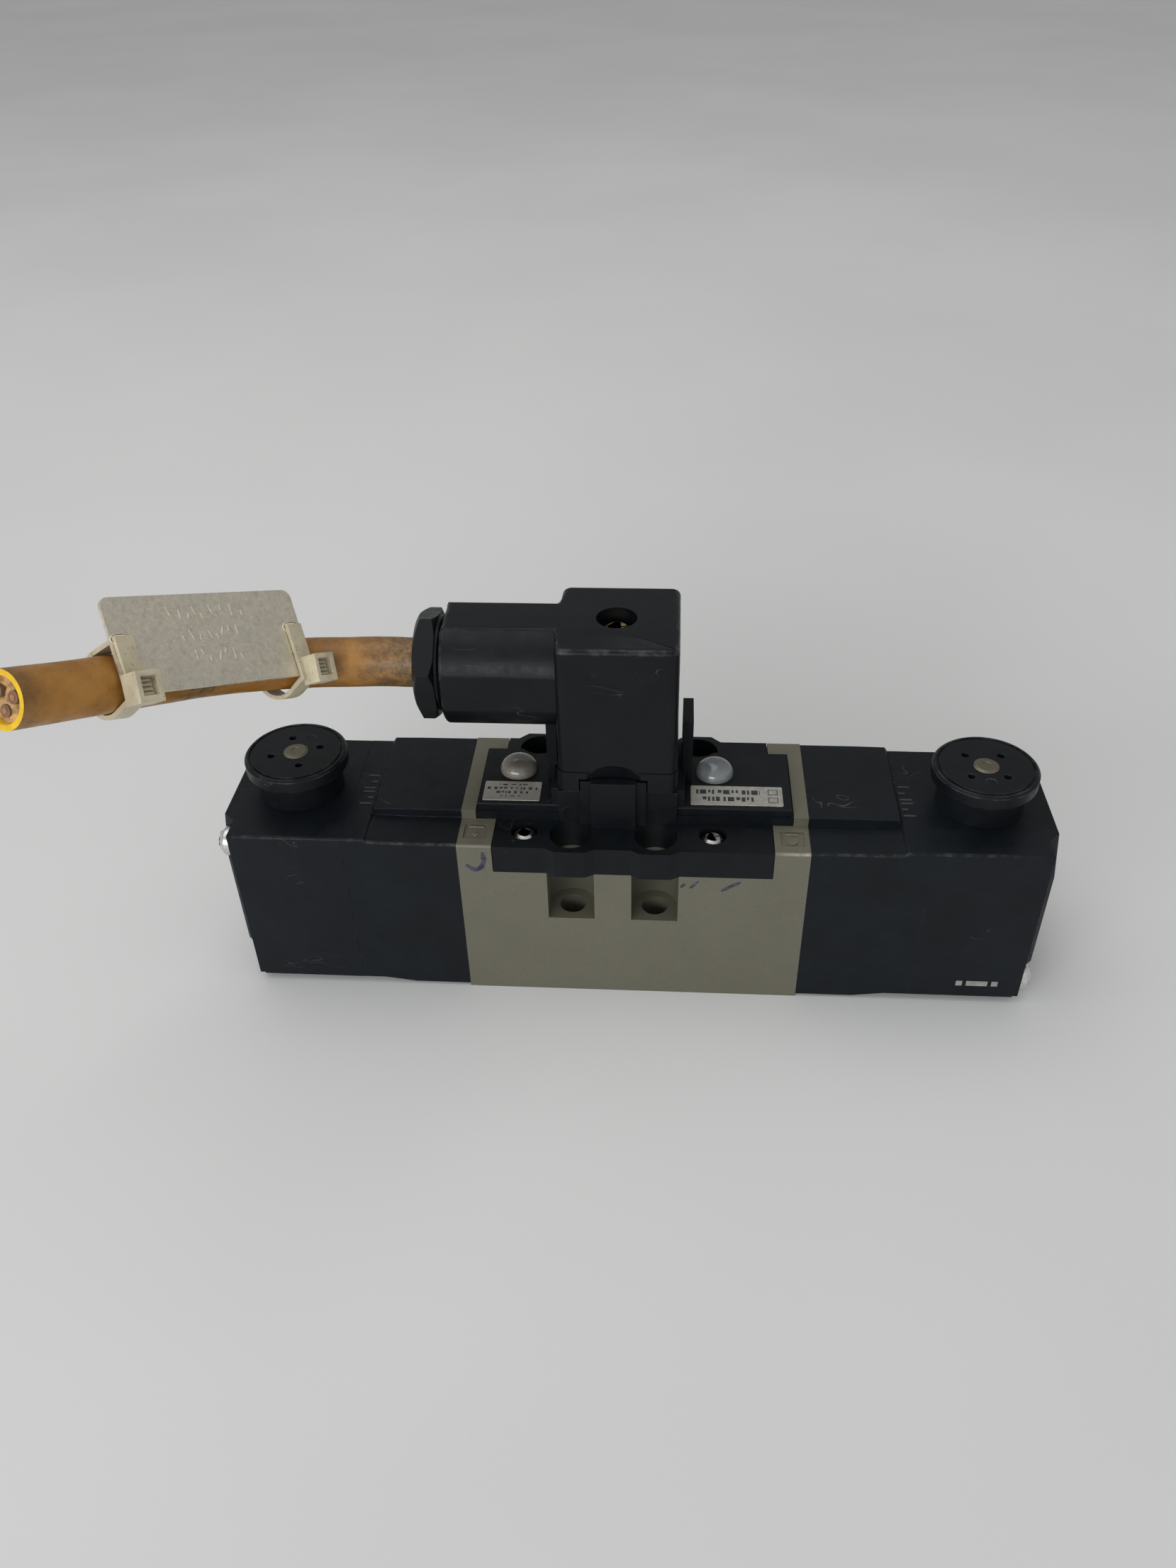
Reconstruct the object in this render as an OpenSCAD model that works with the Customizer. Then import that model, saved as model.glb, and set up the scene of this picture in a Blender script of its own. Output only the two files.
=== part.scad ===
// Double-solenoid directional control valve with a central plug connector.
// +X runs along the spool, +Y to the back, +Z up.
// The origin is at the middle of the mounting face of the metal body.

/* [Valve body] */
// Length of the metal body along the spool
body_l = 86; // [85:0.5:88]
// Depth of the metal body, front to back
body_w = 42; // [42:0.5:44]
// Height of the front shelf
shelf_z = 49; // [48.8:0.1:49.2]
// Height of the rear top
top_z = 51.5; // [51:0.1:51.5]
// Y of the step between the front shelf and the rear top
step_y = -10.3; // [-10.5:0.1:-10.2]
// Diameter of the mounting bolt holes
bolt_d = 6.7; // [6:0.1:6.8]

/* [Spool] */
// Height of the spool axis
spool_z = 20; // [19.5:0.1:20.5]
// Travel of the spool from one end to the other
stroke = 4.5; // [3:0.1:4.6]
// Radius of the pilot pistons
piston_r = 12.9; // [12:0.1:12.9]

/* [Solenoids] */
// Distance of each solenoid axis from the middle of the body
coil_x = 86; // [85.5:0.1:86.5]
// Height of the top of the solenoid caps
cap_top = 61.1; // [60.8:0.1:61.4]
// Radius of the cap's disc
cap_r = 12.9; // [12.5:0.1:13]

/* [Connector] */
// Height of the top of the plug hood
hood_top = 98.8; // [98:0.1:99]
// Radius of the cable barrel
barrel_r = 14.5; // [14:0.1:14.6]
// Diameter of the cable
cable_d = 12; // [11.6:0.1:12]

/* [Hidden] */
$fn = 64;
e = 0.01;

// Metal body: end faces, pocket for the cover, sleeve bore and clearances
body_end = body_l / 2;
body_face = body_w / 2;
pocket_hw = 39.4;      // half-length of the pocket behind the step
shelf_hw = 34.4;       // half-length of the pocket through the front and rear walls
pocket_back = 16.2;    // where the pocket narrows to the rear wall
cover_floor = 40.9;    // floor of the pocket
sleeve_r = 8;
spool_r = 5.46;
sleeve_bore = 5.5;
port_xs = [-28, -14, 0, 14, 28];
port_r = 4;
port_depth = 10;        // where each port narrows to its passage
adapter_screw_y = 15.5;
adapter_screw_z = 37.9;

// Mounting bolts: the front pair stands closer together than the rear pair
bolt_mid = -4.8;
front_bolts = [bolt_mid - 10.45, bolt_mid + 10.45];
rear_bolts = [bolt_mid - 20.8, bolt_mid + 20.8];
front_bolt_y = -15.4;
rear_bolt_y = 16.6;
bolt_seat_z = 25.8;    // the bolt heads sit here
seat_r = 5.83;
channel_r = 5.3;

// End assemblies
adapter_end = 71.8;
end_face = 98.7;
end_y = 21.1;
end_low = 2.2;
end_top = 50.1;
chamber_end = 53.3;
screw_y = 17;
screw_dz = 19.6;
screw_mid_z = 25.8;
plate_t = 1.4;
pad_t = 2.9;
rim_z = 56.9;          // underside of the cap's disc
pin_r = 3.1;

// Sections of an adapter: distance, half-depth, underside, front shelf and rear top
STATIONS = [
    [body_end, body_face, 0.9, shelf_z + 0.2, top_z],
    [57.4, body_face, 0.9, shelf_z + 0.2, top_z],
    [65.2, end_y - 0.02, end_low - 0.1, shelf_z + 0.5, top_z - 0.2],
    [66, end_y, end_low, end_top, end_top],
    [adapter_end, end_y, end_low, end_top, end_top]];

// Top cover
cover_top = 53.5;
cover_hw = 39.2;
cover_front = -9.7;
cover_back = 13.5;
rear_strip = 51.5;
lens_y = 4.9;
lens_xs = [-29.9, 20.1];
cover_screw_xs = [-26.8, 19.6];
cover_screw_y = -14.5;
cover_seat_z = 46.2;     // the cover screws' heads sit here

// Plug connector
hood_x = -3.9;
hood_y0 = -11.4;
hood_y1 = 19.2;
hood_low = 59.3;
wall_reach = 14.6;      // half-width of the base's front wall under the hood
blade_top = 74;         // top of the contact blades
hood_w = 28.6;
hood_mid_y = (hood_y0 + hood_y1) / 2;
hood_screw_x = hood_x - 0.6;
hood_screw_y = 3.9;
screw_seat_z = 94.3;    // the long screw's head sits here
barrel_y = 4.5;
barrel_z = 85.4;
barrel_end = -45.4;
nut_x = -47;
nut_face = -52.1;
seal_t = 0.8;           // thickness of the flat gaskets
board_low = 45;         // underside of the circuit board
board_top = 46.6;
nut_rc = 14;
nut_turn = 12;         // turn of the hexagon about the cable

// Middle line of the cable, from the gland to its cut end
CABLE = [
    [nut_face, barrel_y, barrel_z], [-61.5, 4.4, 85.5], [-68.3, 3.4, 85.9], [-74.9, 1.5, 86.8],
    [-81, -1.3, 88.1], [-86.7, -4.9, 89.8], [-91.7, -9.2, 91.8], [-95.9, -14.1, 94.1],
    [-99.3, -19.5, 96.7], [-102, -25.3, 99.4], [-104.7, -31, 102.1], [-107.4, -36.8, 104.8],
    [-110.1, -42.5, 107.5], [-112.8, -48.3, 110.2], [-115.5, -54, 112.9], [-118.2, -59.8, 115.6]];

// Tag plate: its middle, its turn about Z, Y and X, and its size
tag_at = [-92.2, -19.1, 105.2];
tag_turn = [52.8, 21.9, 55.7];
tag_l = 50.2;
tag_h = 21;
tag_t = 0.8;
tie_x = 22.6;
tie_w = 4.2;
tie_head = [5.8, 6.6, 5.2];

// ---- helpers ----

// Flat rectangle with round corners, centred
module round_rect(w, d, r) {
    square([w - 2 * r, d], center = true);
    square([w, d - 2 * r], center = true);
    for (x = [-1, 1], y = [-1, 1])
        translate([x * (w / 2 - r), y * (d / 2 - r)]) circle(r = r, $fn = 32);
}

// Box given by its lowest and highest corners
module span(a, b) {
    translate(a) cube(b - a);
}

// Cylinder along +X from x0 to x1
module rod_x(r, x0, x1) {
    translate([x0, 0, 0]) rotate([0, 90, 0]) cylinder(r = r, h = x1 - x0);
}

// Block whose section changes evenly from x0 to x1
module loft_x(x0, y0, z0, x1, y1, z1) {
    polyhedron(
        points = [
            [x0, y0[0], z0[0]], [x0, y0[1], z0[0]], [x0, y0[1], z0[1]], [x0, y0[0], z0[1]],
            [x1, y1[0], z1[0]], [x1, y1[1], z1[0]], [x1, y1[1], z1[1]], [x1, y1[0], z1[1]]],
        faces = [[0, 1, 2, 3], [7, 6, 5, 4], [4, 5, 1, 0], [5, 6, 2, 1], [6, 7, 3, 2], [7, 4, 0, 3]]);
}

// The two ends: solenoids are turned half a turn, adapters are mirrored
module turned(side) {
    rotate([0, 0, side > 0 ? 0 : 180]) children();
}

module mirrored(side) {
    if (side > 0) children();
    else mirror([1, 0, 0]) children();
}

// Cross recess for a screw head, cut from its top at the origin
module cross_slot(span_w, slot_w, depth) {
    for (a = [0, 90]) rotate([0, 0, a])
        translate([-span_w / 2, -slot_w / 2, -depth]) cube([span_w, slot_w, depth + 1]);
}

// Pan-head screw with its head's seat at the origin and its head towards +Z
module pan_screw(head_r, head_h, shank_r, shank_l) {
    difference() {
        union() {
            cylinder(r = head_r, h = head_h * 0.55);
            translate([0, 0, head_h * 0.55]) cylinder(r1 = head_r, r2 = head_r * 0.62, h = head_h * 0.45);
        }
        translate([0, 0, head_h]) cross_slot(head_r * 1.2, head_r * 0.26, head_h * 0.6);
    }
    translate([0, 0, -shank_l]) cylinder(r = shank_r, h = shank_l + e);
}

// ---- metal body and spool ----

module bolt_seat(x, y, out) {
    translate([x, y, bolt_seat_z]) cylinder(r = seat_r, h = 40);
    span([x - seat_r, min(y, out), bolt_seat_z], [x + seat_r, max(y, out), 90]);
    translate([x, y, -1]) cylinder(d = bolt_d, h = bolt_seat_z + 2);
}

module valve_body() color([0.44, 0.43, 0.36]) difference() {
    union() {
        span([-body_end, -body_face, 0], [body_end, body_face, shelf_z]);
        span([-body_end, step_y, shelf_z - 1], [body_end, body_face, top_z]);
    }
    span([-pocket_hw, step_y, cover_floor], [pocket_hw, pocket_back, 90]);
    span([-shelf_hw, -body_face - 1, cover_floor], [shelf_hw, body_face + 1, 90]);
    for (x = front_bolts) bolt_seat(x, front_bolt_y, -body_face - 1);
    for (x = rear_bolts) bolt_seat(x, rear_bolt_y, body_face + 1);
    translate([0, 0, spool_z]) rod_x(sleeve_r + 0.02, -body_end - 1, body_end + 1);
    for (x = port_xs) translate([x, 0, -1]) {
        cylinder(r = port_r, h = port_depth + 1);
        cylinder(r = 3, h = 15);
    }
    // Threads for the two front cover screws
    for (x = cover_screw_xs) translate([x, cover_screw_y, cover_floor - 6]) cylinder(r = 1.5, h = 7);
    // Threads for the adapter screws
    for (s = [-1, 1], y = [-1, 1]) translate([s * body_end, y * adapter_screw_y, adapter_screw_z])
        rod_x(2, -9, 9);
}

module spool_sleeve() color([0.72, 0.72, 0.74]) translate([0, 0, spool_z]) difference() {
    rod_x(sleeve_r, -body_end, body_end);
    rod_x(sleeve_bore, -body_end - 1, body_end + 1);
    // Belt grooves and windows over the ports
    for (x = port_xs) {
        difference() {
            rod_x(sleeve_r + 1, x - 3.5, x + 3.5);
            rod_x(6.9, x - 3.6, x + 3.6);
        }
        for (a = [0, 60, 120]) rotate([a, 0, 0])
            translate([x, 0, -10]) cylinder(r = 2, h = 20);
    }
}

// At rest the spool group stands at the left end of its travel
module spool() color([0.8, 0.8, 0.82]) translate([-stroke / 2, 0, spool_z]) {
    rod_x(3.2, -45.75, 45.75);
    for (x = [-38, -21, -7, 7, 21, 38]) rod_x(spool_r, x - 3.6, x + 3.6);
}

module piston(side) color([0.2, 0.2, 0.22]) translate([-stroke / 2, 0, spool_z]) mirrored(side)
    difference() {
        rod_x(piston_r, 45.75, 50.75);
        difference() {
            rod_x(piston_r + 1, 47.15, 49.35);
            rod_x(11.4, 47, 49.5);
        }
    }

module piston_seal(side) color([0.1, 0.1, 0.1]) translate([-stroke / 2, 0, spool_z]) mirrored(side)
    difference() {
        rod_x(12.96, 47.35, 49.15);
        rod_x(11.45, 47, 49.5);
    }

// ---- adapters between body and solenoids ----

module adapter(side) color([0.13, 0.14, 0.16]) mirrored(side) difference() {
    for (i = [0:len(STATIONS) - 2]) {
        a = STATIONS[i];
        b = STATIONS[i + 1];
        loft_x(a[0], [-a[1], a[1]], [a[2], a[3]], b[0], [-b[1], b[1]], [b[2], b[3]]);
        loft_x(a[0], [step_y, a[1]], [40, a[4]], b[0], [step_y, b[1]], [40, b[4]]);
    }
    translate([0, 0, spool_z]) rod_x(13, body_end - 1, chamber_end);
    // Pilot passage from the solenoid to the piston
    translate([0, 0, spool_z + 8]) rod_x(1.2, chamber_end - 1, adapter_end + 1);
    // Seat of the gasket
    span([body_end - 1, -17.5, 3.5], [body_end + 0.6, 17.5, 35.5]);
    // Screw holes, counterbored from the solenoid's side
    for (s = [-1, 1]) translate([0, s * adapter_screw_y, adapter_screw_z]) {
        rod_x(2.2, body_end - 1, adapter_end + 1);
        rod_x(3.5, adapter_end - 6, adapter_end + 1);
    }
}

module adapter_gasket(side) color([0.1, 0.1, 0.1]) mirrored(side) difference() {
    span([body_end, -17.4, 3.6], [body_end + 0.6, 17.4, 35.4]);
    translate([0, 0, spool_z]) rod_x(13.2, body_end - 1, body_end + 2);
}

module adapter_screws(side) color([0.6, 0.6, 0.62]) mirrored(side)
    for (s = [-1, 1]) translate([0, s * adapter_screw_y, adapter_screw_z]) difference() {
        union() {
            rod_x(1.98, body_end - 8, adapter_end - 5.9);
            rod_x(3.4, adapter_end - 6, adapter_end - 2);
        }
        translate([adapter_end - 4.5, 0, 0]) rotate([0, 90, 0]) cylinder(r = 1.7, h = 5, $fn = 6);
    }

// ---- solenoids: everything about the axis at coil_x ----

module housing(side) color([0.12, 0.13, 0.15]) turned(side) difference() {
    span([adapter_end, -end_y, end_low], [end_face, end_y, end_top]);
    // Coil space, open at the end under the end cover
    span([adapter_end + 2.3, -13, 6], [end_face + 1, 13, 45]);
    // Seat of the core tube and of the cap's spigot
    translate([coil_x, 0, 40]) cylinder(r = 9.6, h = 20);
    for (s = [-1, 1]) translate([0, s * screw_y, screw_mid_z + s * screw_dz])
        rod_x(1.98, end_face - 14, end_face + 1);
    // Moulded recess that takes the gasket
    span([adapter_end - 1, -10, 24], [adapter_end + 0.5, 10, 36]);
}

module housing_gasket(side) color([0.1, 0.1, 0.1]) turned(side) difference() {
    span([adapter_end, -9.9, 24.1], [adapter_end + 0.5, 9.9, 35.9]);
    translate([0, 0, spool_z + 8]) rod_x(1.5, adapter_end - 1, adapter_end + 1);
}

module bobbin(side) color([0.15, 0.15, 0.16]) turned(side) translate([coil_x, 0, 0]) difference() {
    union() {
        translate([0, 0, 8.3]) cylinder(r = 11.3, h = 1.7);
        translate([0, 0, 9]) cylinder(r = 8.1, h = 34);
        translate([0, 0, 42.6]) cylinder(r = 11.3, h = 1.7);
    }
    cylinder(r = 7.25, h = 60);
}

module winding(side) color([0.62, 0.33, 0.16]) turned(side) translate([coil_x, 0, 10]) difference() {
    cylinder(r = 11, h = 32.6);
    translate([0, 0, -1]) cylinder(r = 8.1, h = 36);
}

module core_tube(side) color([0.75, 0.73, 0.66]) turned(side) translate([coil_x, 0, 0]) difference() {
    translate([0, 0, 8.3]) cylinder(r = 7.2, h = 45.7);
    translate([0, 0, 21]) cylinder(r = 5.6, h = 40);
    translate([0, 0, 14]) cylinder(r = 3.2, h = 10);
}

module armature(side) color([0.6, 0.6, 0.62]) turned(side) translate([coil_x, 0, 23])
    cylinder(r = 5.54, h = 21);

module armature_spring(side) color([0.8, 0.8, 0.8]) turned(side) translate([coil_x, 0, 14])
    spring_coil(2.6, 0.3, 9, 6);

// Closed helical spring: mean radius, wire radius, height and turns
module spring_coil(r, wire, h, turns) {
    steps = 14 * turns;
    sides = 6;
    rise = h - 2 * wire;
    pts = [for (i = [0:steps], j = [0:sides - 1])
        let (a = 360 * turns * i / steps, b = 360 * j / sides, q = r + wire * cos(b))
        [q * cos(a), q * sin(a), wire + rise * i / steps + wire * sin(b)]];
    walls = [for (i = [0:steps - 1], j = [0:sides - 1])
        let (k = (j + 1) % sides)
        [i * sides + j, (i + 1) * sides + j, (i + 1) * sides + k, i * sides + k]];
    ends = [[for (j = [0:sides - 1]) j], [for (j = [sides - 1:-1:0]) steps * sides + j]];
    polyhedron(points = pts, faces = concat(walls, ends));
}

module cap(side) color([0.11, 0.12, 0.14]) turned(side) translate([coil_x, 0, 0])
    rotate([0, 0, side > 0 ? 0 : -24]) difference() {
        union() {
            translate([0, 0, 44.5]) cylinder(r = 9.55, h = 6);
            translate([0, 0, end_top]) cylinder(r = 10.7, h = rim_z - end_top + e);
            translate([0, 0, rim_z]) cylinder(r1 = 11.9, r2 = cap_r, h = 0.7);
            translate([0, 0, rim_z + 0.7]) cylinder(r = cap_r, h = cap_top - rim_z - 1.3);
            translate([0, 0, cap_top - 0.6]) cylinder(r1 = cap_r, r2 = cap_r - 0.6, h = 0.6);
        }
        translate([0, 0, 40]) cylinder(r = 7.4, h = 15);
        cylinder(r = pin_r + 0.06, h = 70);
        // Ring groove and the four holes for a pin spanner
        translate([0, 0, cap_top - 0.5]) difference() {
            cylinder(r = 11.75, h = 1);
            translate([0, 0, -1]) cylinder(r = 11.3, h = 3);
        }
        for (a = [0:90:270]) rotate([0, 0, a + 45])
            translate([6.15, 0, cap_top - 2]) cylinder(r = 0.95, h = 3);
        // Dot that marks the push side
        rotate([0, 0, -90]) translate([6.4, 0, cap_top - 0.25]) cylinder(r = 1.3, h = 1);
    }

module pin(side) color([0.5, 0.46, 0.37]) turned(side) translate([coil_x, 0, 0]) {
    translate([0, 0, 44.05]) cylinder(r = pin_r, h = cap_top - 44.05);
    translate([0, 0, cap_top - e]) cylinder(r1 = pin_r - 0.1, r2 = pin_r - 0.5, h = 0.35);
    // Collar that keeps the pin in the cap
    translate([0, 0, 52.6]) cylinder(r = 5, h = 2.2);
}

// Pad of the end cover as seen along the spool: flat sides, corners cut for the screws
module pad_outline(grow) {
    half = [
        [9.5 + grow, 4.2 - grow / 5], [16 + grow, 10.6], [16 + grow, 39.5], [11.9 + grow, end_top - 0.2]];
    polygon(concat(half, [for (i = [3:-1:0]) [-half[i][0], half[i][1]]]));
}

module end_cover(side) color([0.12, 0.13, 0.15]) turned(side) difference() {
    union() {
        span([end_face, -end_y + 0.2, end_low + 0.2], [end_face + plate_t, end_y - 0.2, end_top - 0.2]);
        translate([end_face, 0, 0]) rotate([90, 0, 90]) hull() {
            linear_extrude(height = plate_t + 0.3) pad_outline(2.4);
            linear_extrude(height = plate_t + pad_t) pad_outline(0);
        }
    }
    // Flats and clearance holes for the two screws, on one diagonal
    for (s = [-1, 1]) translate([end_face, s * screw_y, screw_mid_z + s * screw_dz]) {
        rod_x(4.2, plate_t, 10);
        rod_x(2.2, -1, 10);
    }
}

module end_screw(side, s) color([0.8, 0.8, 0.78]) turned(side)
    translate([end_face + plate_t, s * screw_y, screw_mid_z + s * screw_dz])
        rotate([0, 90, 0]) rotate([0, 0, 30]) pan_screw(3.7, 2.9, 1.96, 13);

// ---- top cover with lamps ----

// Boss around a bolt channel that stands proud of the cover's face
module channel_boss(x, face, out, high) {
    linear_extrude(height = high - cover_floor)
        translate([x, 0])
            polygon([[-6.1, 0], [-6.1, face], [-3.7, out], [3.7, out], [6.1, face], [6.1, 0]]);
}

module top_cover() color([0.12, 0.13, 0.15]) difference() {
    union() {
        span([-cover_hw, step_y + 0.1, cover_floor], [cover_hw, cover_back, top_z - 0.2]);
        span([-cover_hw + 0.4, cover_front, top_z - 0.3], [cover_hw - 0.4, cover_back, cover_top]);
        span([-shelf_hw + 0.2, -body_face - 0.1, cover_floor], [shelf_hw - 0.2, 0, shelf_z - 0.1]);
        span([-shelf_hw + 0.2, 0, cover_floor], [shelf_hw - 0.2, body_face + 0.1, rear_strip]);
        span([-cover_hw, 0, cover_floor], [cover_hw, pocket_back - 0.2, rear_strip - 0.2]);
        for (x = front_bolts)
            translate([0, -15, cover_floor]) channel_boss(x, -6.1, -7.4, shelf_z - 0.1);
        for (x = rear_bolts)
            translate([0, 15, cover_floor]) channel_boss(x, 6.1, 8.4, rear_strip);
    }
    // Room for the connector's front wall, latch block and ribs
    span([-13, -14, shelf_z - 0.1], [3.2, -5.9, cover_top + 1]);
    span([hood_x - wall_reach - 0.1, -14, shelf_z - 0.1], [hood_x + wall_reach + 0.1, -8.5, cover_top + 1]);
    // Groove of the gasket
    difference() {
        span([-38.1, -9.1, cover_floor - 1], [38.1, 11.3, cover_floor + seal_t]);
        span([-36.5, -7.8, cover_floor - 2], [36.5, 9.8, cover_floor + 2]);
    }
    // Space for the circuit board
    span([-36, -7.5, cover_floor - 1], [36, 9.5, 51.3]);
    for (x = front_bolts) translate([x, front_bolt_y, 30]) cylinder(r = channel_r, h = 40);
    for (x = rear_bolts) translate([x, rear_bolt_y + 0.3, 30]) cylinder(r = channel_r, h = 40);
    for (x = lens_xs) translate([x, lens_y, 45]) cylinder(r = 3.6, h = 20);
    for (x = cover_screw_xs) translate([x, cover_screw_y, 0]) {
        translate([0, 0, cover_seat_z]) cylinder(r = 3.4, h = 10);
        translate([0, 0, 30]) cylinder(r = 1.7, h = 20);
    }
    // Opening under the connector for its contact blades
    span([-13.9, -6, 45], [6.1, 9, 60]);
    // Label seats
    translate([-30.6, -4.7, cover_top - 0.15]) linear_extrude(height = 1) round_rect(14.6, 7.9, 0.5);
    translate([25.4, -4.7, cover_top - 0.15]) linear_extrude(height = 1) round_rect(23, 7.9, 0.5);
}

module cover_gasket() color([0.08, 0.08, 0.08]) difference() {
    span([-38, -9, cover_floor], [38, 11.2, cover_floor + seal_t]);
    span([-36.6, -7.9, cover_floor - 1], [36.6, 9.9, cover_floor + 2]);
}

module cover_screw(i) color([0.78, 0.78, 0.75])
    translate([cover_screw_xs[i], cover_screw_y, cover_seat_z])
        rotate([0, 0, 20]) pan_screw(2.7, 2.2, 1.45, 10.5);

// Domed lens over a lamp
module lens(i) color(i == 0 ? [0.6, 0.56, 0.52, 0.7] : [0.66, 0.7, 0.72, 0.7])
    translate([lens_xs[i], lens_y, cover_top]) rotate_extrude()
        polygon(concat(
            [[0, -2.2], [3.5, -2.2], [3.5, 0]],
            [for (a = [0:7.5:82.5]) [4.8 * cos(a), 3.7 * sin(a)]],
            [[0, 3.7]]));

module lamp(i) color([0.9, 0.5, 0.2]) translate([lens_xs[i], lens_y, board_top]) cylinder(r = 2.4, h = 3.8);

module circuit_board() color([0.1, 0.35, 0.2]) difference() {
    span([-34.5, -7, board_low], [34.5, 9, board_top]);
    span([-13, -5, board_low - 1], [5.2, 8, board_top + 1]);
}

module label_plate(x, w) color([0.75, 0.76, 0.78]) translate([x, -4.7, cover_top - 0.15])
    linear_extrude(height = 0.35) round_rect(w, 7.7, 0.4);

// ---- plug connector ----

module terminal_base() color([0.1, 0.11, 0.13]) difference() {
    union() {
        span([-20.2, -9.5, cover_top], [12.4, 11.2, hood_low - seal_t]);
        // Stem that reaches down into the cover
        span([-13.7, -5.8, 46.7], [5.9, 8.8, cover_top + 1]);
        // Cheeks beside the hood
        for (s = [-1, 1]) span(
            [hood_x + s * 16.9 - 1.3, 0.6, cover_top], [hood_x + s * 16.9 + 1.3, 11.2, s > 0 ? 72 : 70.4]);
        // Wall in front of the cover's raised part
        span(
            [hood_x - wall_reach, step_y - 0.3, shelf_z - 0.1],
            [hood_x + wall_reach, -8.6, hood_low - seal_t]);
        // Latch block with its two side ribs
        span([-10.3, -13, shelf_z - 0.1], [0.5, -5, 62.6]);
        for (x = [-12.9, 0.5]) span([x, -11.6, shelf_z - 0.1], [x + 2.6, -5, 62.2]);
        // Core inside the hood
        span([-14, -7.4, hood_low - 1], [6.2, 14.8, 66]);
    }
    translate([hood_screw_x, hood_screw_y, 50]) cylinder(r = 1.5, h = 20);
    // Clear of the bolt channels
    for (x = rear_bolts) translate([x, rear_bolt_y + 0.3, 50]) cylinder(r = channel_r, h = 30);
    for (x = front_bolts) translate([x, front_bolt_y, 45]) difference() {
        cylinder(r = channel_r, h = 8);
        span([hood_x - 9.1 - x, 0, 0], [hood_x + 7.1 - x, 20, 20]);
    }
    // Pockets of the three contact blades
    span([-9.6, 7.9, 45], [1.8, 9.1, 80]);
    for (x = [-10.6, 2]) span([x, -5, 45], [x + 1.2, 1.4, 80]);
}

module contact_blades() color([0.8, 0.75, 0.5]) {
    span([-9.5, 8, 47], [1.7, 9, blade_top]);
    for (x = [-10.5, 2.1]) span([x, -4.9, 47], [x + 1, 1.3, blade_top]);
}

module connector_gasket() color([0.3, 0.3, 0.3]) translate([hood_x, hood_mid_y, hood_low - seal_t])
    linear_extrude(height = 0.8) difference() {
        round_rect(27, 29, 1.5);
        square([21.4, 23.4], center = true);
        // Cut away round the latch block
        translate([-0.9, -14]) square([17, 8], center = true);
    }

module hood() color([0.11, 0.12, 0.14]) difference() {
    union() {
        translate([hood_x, hood_mid_y, hood_low]) linear_extrude(height = hood_top - hood_low)
            round_rect(hood_w, hood_y1 - hood_y0, 2.2);
        // Slightly wider skirt at the foot
        translate([hood_x, hood_mid_y, hood_low]) linear_extrude(height = 5.6)
            round_rect(hood_w + 0.5, hood_y1 - hood_y0 + 0.4, 2.3);
        // Barrel for the cable, round with flats above, in front, below and behind
        intersection() {
            translate([0, barrel_y, barrel_z]) rod_x(barrel_r, barrel_end, -10);
            span([barrel_end - 1, barrel_y - 13.9, barrel_z - 13.7], [-10, barrel_y + 13.9, hood_top]);
        }
    }
    // Space for the terminal block
    span([hood_x - 11.6, hood_y0 + 3, hood_low - 1], [hood_x + 11.6, hood_y1 - 3, 92.4]);
    translate([0, barrel_y, barrel_z]) {
        rod_x(6.2, -40, hood_x);
        rod_x(10.5, barrel_end - 1, -34);
    }
    // Recess and hole of the long screw
    translate([hood_screw_x, hood_screw_y, screw_seat_z]) cylinder(r = 4.85, h = 10);
    translate([hood_screw_x, hood_screw_y, 80]) cylinder(r = 1.8, h = 20);
    // Cut-out over the latch block, and a thumb scoop above it
    span([-13.2, hood_y0 - 3, hood_low - 1], [3.4, hood_y0 + 3.2, 63]);
    translate([hood_x - 0.9, hood_y0 - 3.2, 62.6]) scale([9.6, 4.3, 6.6]) sphere(r = 1, $fn = 40);
}

module terminal_block() color([0.25, 0.25, 0.27]) difference() {
    span([hood_x - 11.4, hood_y0 + 3.6, 66.2], [hood_x + 11.4, hood_y1 - 3.6, 77]);
    translate([hood_screw_x, hood_screw_y, 60]) cylinder(r = 1.9, h = 30);
    span([-9.7, 7.8, 60], [1.9, 9.2, 80]);
    for (x = [-10.7, 1.9]) span([x, -5.1, 60], [x + 1.4, 1.5, 80]);
}

// The long screw passes the terminal block and bites in the base
module hood_screw() color([0.78, 0.66, 0.35]) translate([hood_screw_x, hood_screw_y, screw_seat_z])
    pan_screw(3.5, 2.2, 1.45, 34);

module gland_grommet() color([0.08, 0.08, 0.08]) translate([0, barrel_y, barrel_z]) difference() {
    rod_x(10.4, -41.4, -34.2);
    rod_x(5.9, -42, -34);
}

module gland_nut() color([0.1, 0.11, 0.13]) translate([0, barrel_y, barrel_z]) difference() {
    union() {
        intersection() {
            translate([nut_face, 0, 0]) rotate([0, 90, 0]) rotate(nut_turn)
                cylinder(r = nut_rc, h = nut_x - nut_face, $fn = 6);
            union() {
                translate([nut_face, 0, 0]) rotate([0, 90, 0]) cylinder(r1 = 11.4, r2 = 14.1, h = 1.6);
                rod_x(14.1, nut_face + 1.6, nut_x - 0.9);
                translate([nut_x - 0.9, 0, 0]) rotate([0, 90, 0]) cylinder(r1 = 14.1, r2 = 12.5, h = 0.9);
            }
        }
        rod_x(11.5, nut_x - e, nut_x + 0.7);
        rod_x(10.4, nut_x - e, -41.5);
    }
    rod_x(cable_d / 2 - 0.1, nut_face - 1, -40);
}

// ---- cable, tag and ties ----

function unit(v) = v / norm(v);
function heading(i) =
    unit(CABLE[min(i + 1, len(CABLE) - 1)] - CABLE[max(i - 1, 0)]);

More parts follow.
